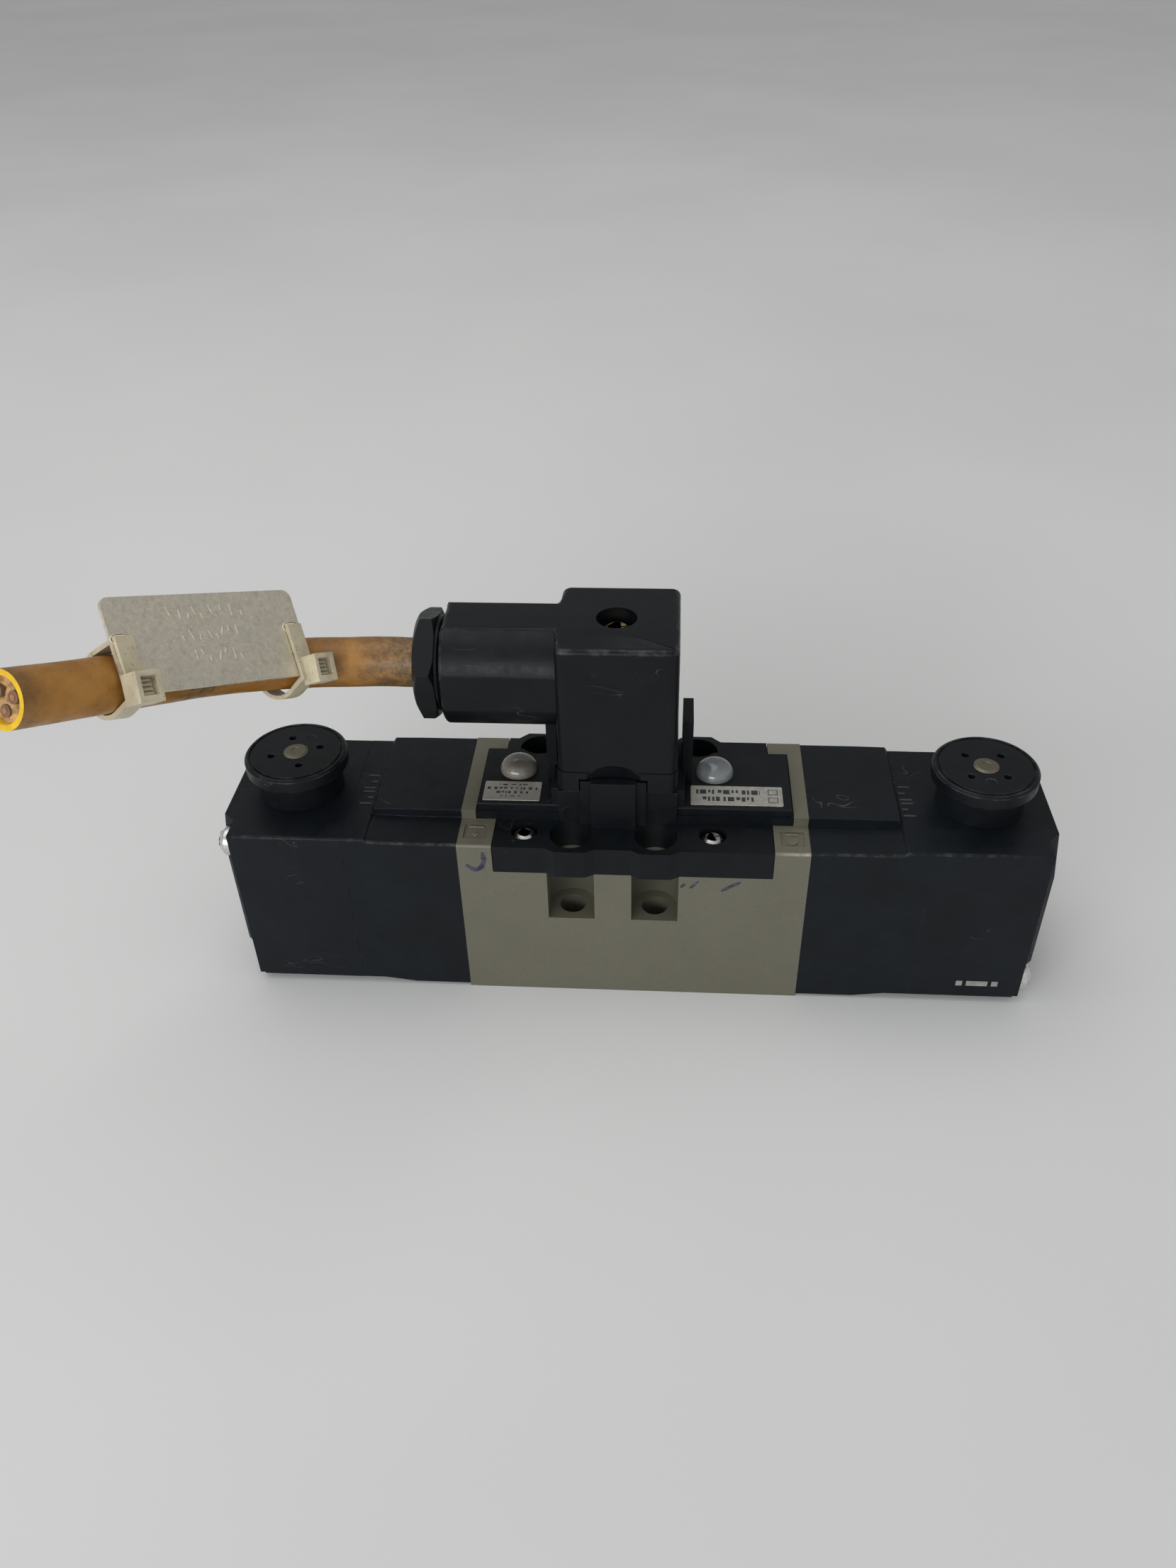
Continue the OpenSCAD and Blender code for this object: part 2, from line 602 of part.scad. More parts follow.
module cable() color([0.75, 0.55, 0.25]) {
    sides = 12;
    last = len(CABLE) - 1;
    pts = [for (i = [0:last], j = [0:sides - 1])
        let (
            t = i == 0 ? [-1, 0, 0] : heading(i),
            u = unit(cross([0, 0, 1], t)),
            v = cross(t, u),
            a = 360 * j / sides)
        CABLE[i] + cable_d / 2 * (cos(a) * u + sin(a) * v)];
    walls = [for (i = [0:last - 1], j = [0:sides - 1])
        let (k = (j + 1) % sides)
        [i * sides + j, (i + 1) * sides + j, (i + 1) * sides + k, i * sides + k]];
    ends = [[for (j = [0:sides - 1]) j], [for (j = [sides - 1:-1:0]) last * sides + j]];
    polyhedron(points = pts, faces = concat(walls, ends));
}

// Frame of the tag plate: X along it, Y up its face, Z out of its face
module on_tag() {
    translate(tag_at) rotate(tag_turn) children();
}

module tag_plate() color([0.74, 0.73, 0.7]) on_tag() difference() {
    translate([0, 0, -tag_t / 2]) linear_extrude(height = tag_t) round_rect(tag_l, tag_h, 2.2);
    for (x = [-tie_x, tie_x]) translate([x, 1.3, -1]) linear_extrude(height = 2)
        round_rect(5, 2.4, 1.1);
}

// Cable tie: a strap round the cable and over the foot of the plate, and its head
module cable_tie(x, head_x, cable_y, cable_z, r) color([0.86, 0.82, 0.72]) on_tag() {
    translate([x, 0, 0]) rotate([90, 0, 90]) translate([0, 0, -tie_w / 2]) {
        linear_extrude(height = tie_w) difference() {
            hull() {
                translate([cable_y, cable_z]) circle(r = r + 1, $fn = 32);
                translate([-11.6, -0.6]) square([13.4, 2.1]);
            }
            hull() {
                translate([cable_y, cable_z]) circle(r = r, $fn = 32);
                translate([-10.6, -0.6]) square([11.4, 1.1]);
            }
        }
    }
    translate([head_x, -10, 3]) rotate([8, 0, 0]) cube(tie_head, center = true);
}

valve_body();
spool_sleeve();
spool();
piston(-1);  // piston_left
piston(1);  // piston_right
piston_seal(-1);  // piston_seal_left
piston_seal(1);  // piston_seal_right
adapter(-1);  // adapter_left
adapter(1);  // adapter_right
adapter_gasket(-1);  // adapter_gasket_left
adapter_gasket(1);  // adapter_gasket_right
adapter_screws(-1);  // adapter_screws_left
adapter_screws(1);  // adapter_screws_right
housing(-1);  // housing_left
housing(1);  // housing_right
housing_gasket(-1);  // housing_gasket_left
housing_gasket(1);  // housing_gasket_right
bobbin(-1);  // bobbin_left
bobbin(1);  // bobbin_right
winding(-1);  // winding_left
winding(1);  // winding_right
core_tube(-1);  // core_tube_left
core_tube(1);  // core_tube_right
armature(-1);  // armature_left
armature(1);  // armature_right
armature_spring(-1);  // armature_spring_left
armature_spring(1);  // armature_spring_right
cap(-1);  // cap_left
cap(1);  // cap_right
pin(-1);  // pin_left
pin(1);  // pin_right
end_cover(-1);  // end_cover_left
end_cover(1);  // end_cover_right
end_screw(-1, 1);  // end_screw_left_high
end_screw(-1, -1);  // end_screw_left_low
end_screw(1, 1);  // end_screw_right_high
end_screw(1, -1);  // end_screw_right_low
top_cover();
cover_gasket();
cover_screw(0);  // cover_screw_left
cover_screw(1);  // cover_screw_right
lens(0);  // lens_left
lens(1);  // lens_right
lamp(0);  // lamp_left
lamp(1);  // lamp_right
circuit_board();
label_plate(-30.6, 14.4);  // label_left
label_plate(25.4, 22.8);  // label_right
terminal_base();
contact_blades();
connector_gasket();
hood();
terminal_block();
hood_screw();
gland_grommet();
gland_nut();
cable();
tag_plate();
cable_tie(tie_x, 24.4, -5.4, -6.8, 7.3);  // tie_near
cable_tie(-tie_x, -22.9, -5.7, -7.4, 6.4);  // tie_far
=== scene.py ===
"""Solenoid directional valve: the looks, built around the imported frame.

Builders work in millimetres and turn into metres when a piece is made.
"""

import math
import random

import bmesh
import bpy
from mathutils import Euler, Matrix, Vector, noise


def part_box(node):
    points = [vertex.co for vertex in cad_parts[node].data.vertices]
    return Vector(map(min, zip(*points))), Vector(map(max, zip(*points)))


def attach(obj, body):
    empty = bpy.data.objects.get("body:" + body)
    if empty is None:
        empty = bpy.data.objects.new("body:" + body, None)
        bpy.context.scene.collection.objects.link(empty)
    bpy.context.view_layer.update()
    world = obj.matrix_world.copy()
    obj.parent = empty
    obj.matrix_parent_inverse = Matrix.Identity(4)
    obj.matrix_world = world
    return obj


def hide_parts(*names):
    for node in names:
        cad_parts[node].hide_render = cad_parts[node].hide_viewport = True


MM = 0.001
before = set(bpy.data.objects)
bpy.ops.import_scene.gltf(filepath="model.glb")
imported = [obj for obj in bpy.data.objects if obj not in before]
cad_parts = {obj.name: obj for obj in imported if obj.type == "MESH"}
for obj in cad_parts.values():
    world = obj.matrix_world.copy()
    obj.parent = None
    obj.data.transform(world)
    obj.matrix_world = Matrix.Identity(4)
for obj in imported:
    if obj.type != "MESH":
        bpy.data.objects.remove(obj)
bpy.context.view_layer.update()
SIDES = {"left": -1, "right": 1}


def box_mm(node):
    """Lowest and highest corner of a CAD node, in millimetres."""
    lo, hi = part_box(node)
    return lo / MM, hi / MM


# ---------------------------------------------------------------- camera, light and floor

CAMERA_AT = (0.00766, -0.2464, 0.2423)
CAMERA_TURN, CAMERA_PITCH, CAMERA_ROLL = (math.radians(a) for a in (-4.54, 37.49, -1.48))
CAMERA_LENS = 28.17


def make_camera():
    """A portrait camera that looks down on the front of the valve."""
    turn, pitch, roll = CAMERA_TURN, CAMERA_PITCH, CAMERA_ROLL
    ahead = Vector((math.sin(turn) * math.cos(pitch), math.cos(turn) * math.cos(pitch), -math.sin(pitch)))
    level = Vector((math.cos(turn), -math.sin(turn), 0))
    above = level.cross(ahead)
    right = math.cos(roll) * level + math.sin(roll) * above
    up = math.cos(roll) * above - math.sin(roll) * level
    data = bpy.data.cameras.new("camera")
    data.lens = CAMERA_LENS
    data.sensor_width = 36
    data.clip_start = 0.01
    camera = bpy.data.objects.new("camera", data)
    bpy.context.scene.collection.objects.link(camera)
    turned = Matrix((right, up, -ahead)).transposed().to_4x4()
    camera.matrix_world = Matrix.Translation(CAMERA_AT) @ turned
    bpy.context.scene.camera = camera


def area_light(name, at, towards, size, power, tint):
    data = bpy.data.lights.new(name, "AREA")
    data.shape = "RECTANGLE"
    data.size, data.size_y = size
    data.energy = power
    data.color = tint
    light = bpy.data.objects.new(name, data)
    light.location = at
    light.rotation_euler = (Vector(towards) - Vector(at)).to_track_quat("-Z", "Y").to_euler()
    bpy.context.scene.collection.objects.link(light)


ROOM_FRONT, ROOM_BACK = (0.58, 0.585, 0.585, 1), (0.32, 0.32, 0.315, 1)


def make_light():
    """Soft room light: a window in front on the left, a weak panel above and a room that is dimmer behind."""
    world = bpy.data.worlds.new("room")
    world.use_nodes = True
    tree = world.node_tree
    around = tree.nodes.new("ShaderNodeTexCoord").outputs["Generated"]
    split = tree.nodes.new("ShaderNodeSeparateXYZ")
    depth = tree.nodes.new("ShaderNodeMapRange")
    depth.interpolation_type = "SMOOTHSTEP"
    depth.inputs["From Min"].default_value = -0.6
    depth.inputs["From Max"].default_value = 0.5
    shades = tree.nodes.new("ShaderNodeMix")
    shades.data_type = "RGBA"
    shades.inputs[6].default_value = ROOM_FRONT
    shades.inputs[7].default_value = ROOM_BACK
    tree.links.new(around, split.inputs[0])
    tree.links.new(split.outputs["Y"], depth.inputs["Value"])
    tree.links.new(depth.outputs["Result"], shades.inputs[0])
    tree.links.new(shades.outputs[2], tree.nodes["Background"].inputs["Color"])
    bpy.context.scene.world = world
    area_light("window", (-0.6, -1.35, 0.62), (0, 0, 0.03), (1.3, 0.5), 10.5, (0.98, 0.99, 1))
    area_light("panel", (-0.35, 0.15, 1.25), (-0.1, 0, 0.03), (1.3, 1.0), 5.0, (1, 0.985, 0.96))
    bpy.context.scene.view_settings.view_transform = "Standard"


# ---------------------------------------------------------------- materials


class Graph:
    """A material's node tree with short helpers. Coordinates are the object's own, in metres."""

    def __init__(self, name, color, rough, metal=0.0, spec=0.5):
        self.material = bpy.data.materials.new(name)
        self.material.use_nodes = True
        self.tree = self.material.node_tree
        self.shader = self.tree.nodes["Principled BSDF"]
        self.shader.inputs["Base Color"].default_value = (*color, 1)
        self.shader.inputs["Roughness"].default_value = rough
        self.shader.inputs["Metallic"].default_value = metal
        self.shader.inputs["Specular IOR Level"].default_value = spec
        self.place = self.tree.nodes.new("ShaderNodeTexCoord").outputs["Object"]
        self.material.diffuse_color = (*color, 1)

    def node(self, kind, **inputs):
        made = self.tree.nodes.new(kind)
        for key, value in inputs.items():
            self.feed(made.inputs[key.replace("_", " ")], value)
        return made

    def feed(self, socket, value):
        if isinstance(value, bpy.types.NodeSocket):
            self.tree.links.new(value, socket)
        else:
            socket.default_value = value

    def scaled(self, scale):
        """The coordinates stretched by a vector, for grain that runs one way."""
        made = self.tree.nodes.new("ShaderNodeMapping")
        made.inputs["Scale"].default_value = scale
        self.tree.links.new(self.place, made.inputs["Vector"])
        return made.outputs["Vector"]

    def noise(self, size_mm, detail=3.0, rough=0.55, place=None, distortion=0.0):
        made = self.node("ShaderNodeTexNoise", Vector=place or self.place, Scale=1 / (size_mm * MM),
                         Detail=detail, Roughness=rough, Distortion=distortion)
        return made.outputs["Fac"]

    def ramp(self, value, low, high, at_low=0.0, at_high=1.0):
        made = self.node("ShaderNodeMapRange", Value=value)
        made.interpolation_type = "SMOOTHSTEP"
        for key, number in (("From Min", low), ("From Max", high), ("To Min", at_low), ("To Max", at_high)):
            made.inputs[key].default_value = number
        return made.outputs["Result"]

    def math(self, kind, a, b=0.0):
        made = self.tree.nodes.new("ShaderNodeMath")
        made.operation = kind
        made.use_clamp = kind in ("MULTIPLY", "ADD")
        self.feed(made.inputs[0], a)
        self.feed(made.inputs[1], b)
        return made.outputs[0]

    def mix(self, share, a, b):
        made = self.tree.nodes.new("ShaderNodeMix")
        made.data_type = "RGBA"
        for socket, value in ((made.inputs[0], share), (made.inputs[6], a), (made.inputs[7], b)):
            if isinstance(value, tuple):
                value = (*value, 1)
            self.feed(socket, value)
        return made.outputs[2]

    def attribute(self, name):
        made = self.tree.nodes.new("ShaderNodeAttribute")
        made.attribute_name = name
        return made.outputs["Fac"]

    def axis(self, index):
        made = self.node("ShaderNodeSeparateXYZ", Vector=self.place)
        return made.outputs[index]

    def specks(self, size_mm, reach, share):
        """Small round specks, in a share of the cells of a Voronoi grid."""
        made = self.node("ShaderNodeTexVoronoi", Vector=self.place, Scale=1 / (size_mm * MM))
        near = self.ramp(made.outputs["Distance"], reach, reach * 0.6)
        pick = self.node("ShaderNodeSeparateColor", Color=made.outputs["Color"]).outputs[0]
        return self.math("MULTIPLY", near, self.ramp(pick, share, share * 0.9))

    def scratches(self, size_mm, stretch, amount):
        """Thin stray lines where two stretched noises cross a level."""
        thin = self.noise(size_mm, 1.0, 0.4, self.scaled(stretch), 0.6)
        line = self.math("SUBTRACT", 1.0, self.ramp(self.math("ABSOLUTE", self.math("SUBTRACT", thin, 0.5)),
                                                    0.0005, 0.006))
        gate = self.ramp(self.noise(size_mm * 2.1, 2.0), 0.62 - amount, 0.68 - amount)
        return self.math("MULTIPLY", line, gate)

    def color(self, value):
        self.feed(self.shader.inputs["Base Color"], value)

    def rough(self, value):
        self.feed(self.shader.inputs["Roughness"], value)

    def bump(self, height, depth_mm, strength=1.0, after=None):
        made = self.node("ShaderNodeBump", Height=height, Strength=strength, Distance=depth_mm * MM)
        if after is not None:
            self.tree.links.new(after, made.inputs["Normal"])
        self.tree.links.new(made.outputs["Normal"], self.shader.inputs["Normal"])
        return made.outputs["Normal"]


def shade(color, factor):
    return tuple(min(1.0, c * factor) for c in color)


def black_plastic(name, color=(0.006, 0.008, 0.0105), rough=0.42, grain=0.35, spec=0.18, lines=False,
                  dust=0.22, edge_wear_and_highlight_tint=(0.07, 0.075, 0.08)):
    """Moulded black plastic: fine texture, dull patches, dust, edges lightened by rubbing and by a painted
    highlight, and a few scratches.
    """
    g = Graph(name, color, rough, spec=spec)
    patches = g.noise(14, 4.0, 0.6)
    tone = g.mix(g.ramp(patches, 0.35, 0.68), shade(color, 0.8), shade(color, 1.2))
    # Rounded edges lightened: partly rubbed plastic, partly a painted highlight along the rounding
    edge_wear_and_highlight = g.math("MULTIPLY", g.attribute("edge"), g.ramp(g.noise(3.5, 5.0, 0.65), 0.42, 0.68))
    tone = g.mix(g.math("MULTIPLY", edge_wear_and_highlight, 0.6), tone, edge_wear_and_highlight_tint)
    marks = g.scratches(9, (1, 1, 2.4), 0.0)
    tone = g.mix(g.math("MULTIPLY", marks, 0.35), tone, (0.17, 0.175, 0.18))
    specks = g.specks(5.5, 0.028, dust)
    tone = g.mix(g.math("MULTIPLY", specks, 0.75), tone, (0.33, 0.33, 0.31))
    g.color(tone)
    g.rough(g.ramp(g.noise(5, 5.0, 0.7), 0.3, 0.7, rough - 0.06, rough + 0.12))
    normal = g.bump(g.noise(grain, 2.0, 0.5), 0.012, 0.5)
    if lines:
        # Mould polishing marks that run level round the hood
        level = g.noise(0.55, 2.0, 0.6, g.scaled((0.02, 0.02, 1)))
        normal = g.bump(level, 0.02, 0.55, normal)
    g.bump(g.noise(8, 2.0), 0.05, 0.25, normal)
    return g.material


def khaki_coat(name, color=(0.165, 0.158, 0.118), metal=0.42, rough=0.48):
    """Champagne metallic coat over cast metal: fine flake, grime, edges lightened by rubbing and by a painted
    highlight, and stray nicks.
    """
    g = Graph(name, color, rough, metal, 0.5)
    flake = g.noise(0.22, 2.0, 0.7)
    tone = g.mix(g.ramp(flake, 0.3, 0.7), shade(color, 0.9), shade(color, 1.1))
    tone = g.mix(g.ramp(g.noise(20, 4.0, 0.6), 0.4, 0.75, 0.0, 0.3), tone, shade(color, 0.8))
    grime = g.ramp(g.noise(2.2, 6.0, 0.75), 0.66, 0.78)
    grime = g.math("MULTIPLY", grime, g.ramp(g.noise(26, 2.0), 0.48, 0.62))
    tone = g.mix(g.math("MULTIPLY", grime, 0.55), tone, (0.07, 0.06, 0.045))
    # Rounded edges lightened: partly rubbed-through coat, partly a painted highlight along the rounding
    edge_wear_and_highlight = g.math("MULTIPLY", g.attribute("edge"), g.ramp(g.noise(1.6, 4.0), 0.3, 0.6))
    tone = g.mix(g.math("MULTIPLY", edge_wear_and_highlight, 0.55), tone, (0.62, 0.58, 0.46))
    nick = g.specks(6.5, 0.035, 0.2)
    tone = g.mix(g.math("MULTIPLY", nick, 0.7), tone, (0.06, 0.05, 0.04))
    g.color(tone)
    g.rough(g.ramp(g.noise(4, 5.0), 0.3, 0.7, rough - 0.05, rough + 0.1))
    normal = g.bump(g.noise(0.3, 2.0, 0.6), 0.012, 0.5)
    g.bump(g.noise(6, 2.0), 0.04, 0.3, normal)
    return g.material


def plain_metal(name, color, rough, stretch=(1, 1, 1), tarnish=(0.12, 0.11, 0.09), amount=0.35):
    """Bare or plated metal with fine tool marks and tarnish."""
    g = Graph(name, color, rough, 1.0)
    brushed = g.noise(0.25, 3.0, 0.6, g.scaled(stretch))
    tone = g.mix(g.ramp(brushed, 0.3, 0.7), shade(color, 0.86), shade(color, 1.08))
    dull = g.ramp(g.noise(1.8, 5.0, 0.7), 0.5, 0.72)
    tone = g.mix(g.math("MULTIPLY", dull, amount), tone, tarnish)
    g.color(tone)
    g.rough(g.ramp(g.noise(1.2, 4.0), 0.3, 0.7, rough - 0.08, rough + 0.14))
    g.bump(brushed, 0.006, 0.5)
    return g.material


def soft_matt(name, color, rough=0.7, spread=0.25, grain=0.5, dirt=(0.05, 0.04, 0.03), amount=0.3, size=3.0,
              subsurface=0.0):
    """Rubber, nylon, filler and other dull stuff with stains."""
    g = Graph(name, color, rough, spec=0.4)
    tone = g.mix(g.ramp(g.noise(size * 2, 4.0), 0.3, 0.7), shade(color, 1 - spread), shade(color, 1 + spread))
    stain = g.ramp(g.noise(size, 6.0, 0.72), 0.54, 0.72)
    tone = g.mix(g.math("MULTIPLY", stain, amount), tone, dirt)
    g.color(tone)
    g.rough(g.ramp(g.noise(size, 4.0), 0.3, 0.7, rough - 0.08, rough + 0.08))
    g.bump(g.noise(grain, 3.0), 0.02, 0.5)
    if subsurface:
        g.shader.inputs["Subsurface Weight"].default_value = subsurface
        g.shader.inputs["Subsurface Radius"].default_value = (0.0016, 0.0013, 0.0009)
    return g.material


def lens_material(name, color, deep):
    """Smoky moulded dome: clear skin over a cloudy inside, darker in the middle."""
    g = Graph(name, color, 0.16, spec=0.55)
    middle = g.attribute("middle")
    cloudy = g.noise(2.2, 4.0, 0.6)
    tone = g.mix(g.ramp(middle, 0.0, 1.0), color, deep)
    tone = g.mix(g.ramp(cloudy, 0.35, 0.7, 0.0, 0.45), tone, shade(color, 1.25))
    g.color(tone)
    g.rough(g.ramp(g.noise(1.5, 4.0), 0.3, 0.7, 0.14, 0.3))
    g.bump(g.noise(1.2, 3.0), 0.01, 0.4)
    g.shader.inputs["Subsurface Weight"].default_value = 0.35
    g.shader.inputs["Subsurface Radius"].default_value = (0.002, 0.002, 0.002)
    g.shader.inputs["Coat Weight"].default_value = 0.5
    g.shader.inputs["Coat Roughness"].default_value = 0.12
    return g.material


def jacket_material(name):
    """Orange cable jacket: darker by the gland, by the tag and towards the cut end, partly grime and partly
    painted shade; rubbed and smeared along its length.
    """
    color = (0.40, 0.17, 0.026)
    g = Graph(name, color, 0.42, spec=0.45)
    along = g.noise(7, 4.0, 0.6, g.scaled((0.6, 0.5, 1)))
    tone = g.mix(g.ramp(along, 0.35, 0.7), shade(color, 0.75), (0.46, 0.22, 0.045))
    smear = g.ramp(g.noise(3.4, 7.0, 0.75), 0.55, 0.7)
    tone = g.mix(g.math("MULTIPLY", smear, 0.5), tone, (0.16, 0.075, 0.02))
    # Patchy grime with painted shade where the cable runs into the gland and lies under the tag
    wear_grime_and_painted_light = g.attribute("grime_and_painted_shade")
    grime_and_painted_shade = g.math("MULTIPLY", wear_grime_and_painted_light, g.ramp(g.noise(2.1, 7.0, 0.8), 0.4, 0.62))
    tone = g.mix(g.math("MULTIPLY", wear_grime_and_painted_light, 0.6), tone, (0.17, 0.125, 0.065))
    tone = g.mix(g.math("MULTIPLY", grime_and_painted_shade, 0.85), tone, (0.035, 0.027, 0.018))
    fleck = g.ramp(g.noise(1.3, 4.0, 0.6), 0.7, 0.76)
    tone = g.mix(g.math("MULTIPLY", fleck, 0.7), tone, (0.05, 0.032, 0.018))
    g.color(tone)
    g.rough(g.ramp(g.noise(3, 5.0), 0.3, 0.7, 0.36, 0.55))
    normal = g.bump(g.noise(0.4, 3.0), 0.015, 0.5)
    g.bump(g.noise(4, 3.0), 0.1, 0.4, normal)
    return g.material


def make_materials():
    return {
        "body": khaki_coat("khaki_coat"),
        "pin": khaki_coat("khaki_pin", (0.145, 0.13, 0.095), 0.7, 0.42),
        "adapter": black_plastic("black_adapter", (0.0054, 0.0076, 0.0102), 0.44, 0.4),
        "housing": black_plastic("black_housing", (0.0058, 0.0078, 0.0108), 0.40, 0.45, dust=0.4),
        "plate": black_plastic("black_end_cover", (0.0065, 0.0088, 0.0115), 0.46, 0.4),
        "cap": black_plastic("black_cap", (0.0062, 0.0078, 0.0096), 0.36, 0.3, edge_wear_and_highlight_tint=(0.10, 0.105, 0.11)),
        "cover": black_plastic("black_cover", (0.0045, 0.0062, 0.0080), 0.44, 0.3, dust=0.3),
        "hood": black_plastic("black_hood", (0.0038, 0.0052, 0.0068), 0.34, 0.35, spec=0.2, lines=True),
        "base": black_plastic("black_terminal_base", (0.0045, 0.006, 0.0075), 0.45, 0.35),
        "nut": black_plastic("black_nut", (0.0042, 0.0056, 0.0070), 0.34, 0.3, spec=0.2),
        "rubber": soft_matt("black_rubber", (0.012, 0.012, 0.013), 0.75, 0.2, dirt=(0.05, 0.05, 0.045)),
        "mark": black_plastic("raised_mark", (0.045, 0.05, 0.048), 0.5, 0.3),
        "zinc": plain_metal("zinc_plate", (0.70, 0.70, 0.68), 0.26, amount=0.5),
        "brass": plain_metal("worn_brass", (0.60, 0.47, 0.24), 0.3, amount=0.55, tarnish=(0.10, 0.07, 0.03)),
        "lens_left": lens_material("lens_warm", (0.19, 0.175, 0.15), (0.085, 0.075, 0.06)),
        "lens_right": lens_material("lens_cool", (0.18, 0.20, 0.205), (0.10, 0.115, 0.125)),
        "foil": plain_metal("label_foil", (0.56, 0.55, 0.50), 0.42, (1, 6, 1), (0.3, 0.29, 0.26), 0.3),
        "ink": soft_matt("label_ink", (0.03, 0.03, 0.035), 0.6, 0.3, amount=0.1),
        "pen": soft_matt("pen_ink", (0.048, 0.042, 0.075), 0.55, 0.5, dirt=(0.13, 0.125, 0.11),
                         amount=0.7, size=0.8),
        "print": soft_matt("pale_print", (0.27, 0.28, 0.26), 0.6, 0.15, dirt=(0.1, 0.1, 0.09),
                           amount=0.4, size=1.0),
        "jacket": jacket_material("orange_jacket"),
        "jacket_cut": soft_matt("jacket_cut", (0.80, 0.50, 0.015), 0.5, 0.12, dirt=(0.35, 0.16, 0.03),
                                amount=0.45, size=1.2, subsurface=0.2),
        "filler": soft_matt("cable_filler", (0.50, 0.30, 0.13), 0.8, 0.45, dirt=(0.08, 0.045, 0.02),
                            amount=0.7, size=0.9),
        "core": soft_matt("core_insulation", (0.20, 0.12, 0.07), 0.6, 0.3, dirt=(0.04, 0.03, 0.02),
                          amount=0.5),
        "copper": plain_metal("bare_copper", (0.70, 0.33, 0.16), 0.35),
        "tag": plain_metal("tag_steel", (0.80, 0.75, 0.63), 0.5, (1, 1, 1), (0.50, 0.43, 0.32), 0.4),
        "nylon": soft_matt("natural_nylon", (0.56, 0.50, 0.36), 0.42, 0.15, dirt=(0.17, 0.10, 0.04),
                           amount=0.8, size=2.0, subsurface=0.35),
        "sleeve": plain_metal("honed_sleeve", (0.72, 0.72, 0.74), 0.25, (1, 0.1, 0.1)),
        "ground": plain_metal("ground_spool", (0.75, 0.75, 0.77), 0.2, (1, 0.1, 0.1)),
        "magnet": plain_metal("soft_iron", (0.5, 0.5, 0.52), 0.3, (0.1, 0.1, 1)),
        "spring": plain_metal("spring_wire", (0.55, 0.55, 0.58), 0.3),
        "bobbin": soft_matt("bobbin_plastic", (0.62, 0.58, 0.46), 0.5),
        "winding": plain_metal("copper_winding", (0.62, 0.25, 0.09), 0.35, (0.05, 0.05, 1)),
        "tin": plain_metal("tinned_blade", (0.72, 0.72, 0.7), 0.3, (0.1, 1, 1)),
        "board": soft_matt("solder_mask", (0.015, 0.11, 0.055), 0.4, 0.15),
        "lamp": soft_matt("neon_lamp", (0.75, 0.33, 0.12), 0.2, 0.1, amount=0.1),
    }


# ---------------------------------------------------------------- mesh helpers


def link(name, mesh):
    made = bpy.data.objects.new(name, mesh)
    bpy.context.scene.collection.objects.link(made)
    return made


def piece(name, bm, materials, body="valve", sharp=38, weighted=True):
    """Turns a mesh in millimetres into a named object that rides on a body."""
    bm.transform(Matrix.Scale(MM, 4))
    bmesh.ops.recalc_face_normals(bm, faces=bm.faces)
    mesh = bpy.data.meshes.new(name)
    bm.to_mesh(mesh)
    bm.free()
    for material in materials:
        mesh.materials.append(material)
    mesh.shade_smooth()
    mesh.set_sharp_from_angle(angle=math.radians(sharp))
    made = link(name, mesh)
    if weighted:
        modifier = made.modifiers.new("flat_faces", "WEIGHTED_NORMAL")
        modifier.keep_sharp = True
    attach(made, body)
    return made


VERTEX_FACTS = ("edge", "grime_and_painted_shade", "middle")    # what materials read off the mesh


def new_mesh(source=None):
    """An empty mesh, or a copy of one, with room for the facts that materials read."""
    bm = bmesh.new()
    if source is not None:
        bm.from_mesh(source)
    for fact in VERTEX_FACTS:
        if bm.verts.layers.float.get(fact) is None:
            bm.verts.layers.float.new(fact)
    bm.verts.ensure_lookup_table()
    return bm


def node_mesh(node):
    """A CAD node's mesh as clean faces, in millimetres."""
    bm = new_mesh(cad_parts[node].data)
    bm.transform(Matrix.Scale(1 / MM, 4))
    bmesh.ops.remove_doubles(bm, verts=bm.verts, dist=0.002)
    bmesh.ops.dissolve_limit(bm, angle_limit=math.radians(0.7), use_dissolve_boundaries=False,
                             verts=bm.verts, edges=bm.edges)
    return bm


def round_edges(bm, edges, width, segments, clamp=True):
    """Rounds edges and marks the middle of each rounding, where wear and a painted highlight show."""
    if not edges:
        return
    wear_grime_and_painted_light = bm.verts.layers.float["edge"]
    made = bmesh.ops.bevel(bm, geom=edges, offset=width, offset_type="OFFSET", segments=segments, profile=0.5,
                           affect="EDGES", clamp_overlap=clamp, loop_slide=True)
    rounded = set(made["faces"])
    for v in {v for f in rounded for v in f.verts}:
        if v.is_valid and all(f in rounded for f in v.link_faces):
            v[wear_grime_and_painted_light] = 1.0


def sharp_edges(bm, angle):
    limit = math.radians(angle)
    return [e for e in bm.edges if len(e.link_faces) == 2 and e.calc_face_angle(0) > limit]


def middle(edge):
    return (edge.verts[0].co + edge.verts[1].co) / 2


def carved(bm, cutters, operation="DIFFERENCE"):
    """A mesh less (or plus) other closed meshes."""
    base = link("carve_base", bpy.data.meshes.new("carve_base"))
    bm.to_mesh(base.data)
    bm.free()
    tools = []
    for i, cutter in enumerate(cutters):
        tool = link(f"carve_tool_{i}", bpy.data.meshes.new(f"carve_tool_{i}"))
        bmesh.ops.recalc_face_normals(cutter, faces=cutter.faces)
        cutter.to_mesh(tool.data)
        cutter.free()
        modifier = base.modifiers.new(f"carve_{i}", "BOOLEAN")
        modifier.operation = operation
        modifier.solver = "EXACT"
        modifier.object = tool
        tools.append(tool)
    bpy.context.view_layer.update()
    result = new_mesh(base.evaluated_get(bpy.context.evaluated_depsgraph_get()).to_mesh())
    for made in [base, *tools]:
        mesh = made.data
        bpy.data.objects.remove(made)
        bpy.data.meshes.remove(mesh)
    bmesh.ops.dissolve_limit(result, angle_limit=math.radians(0.7), use_dissolve_boundaries=False,
                             verts=result.verts, edges=result.edges)
    return result


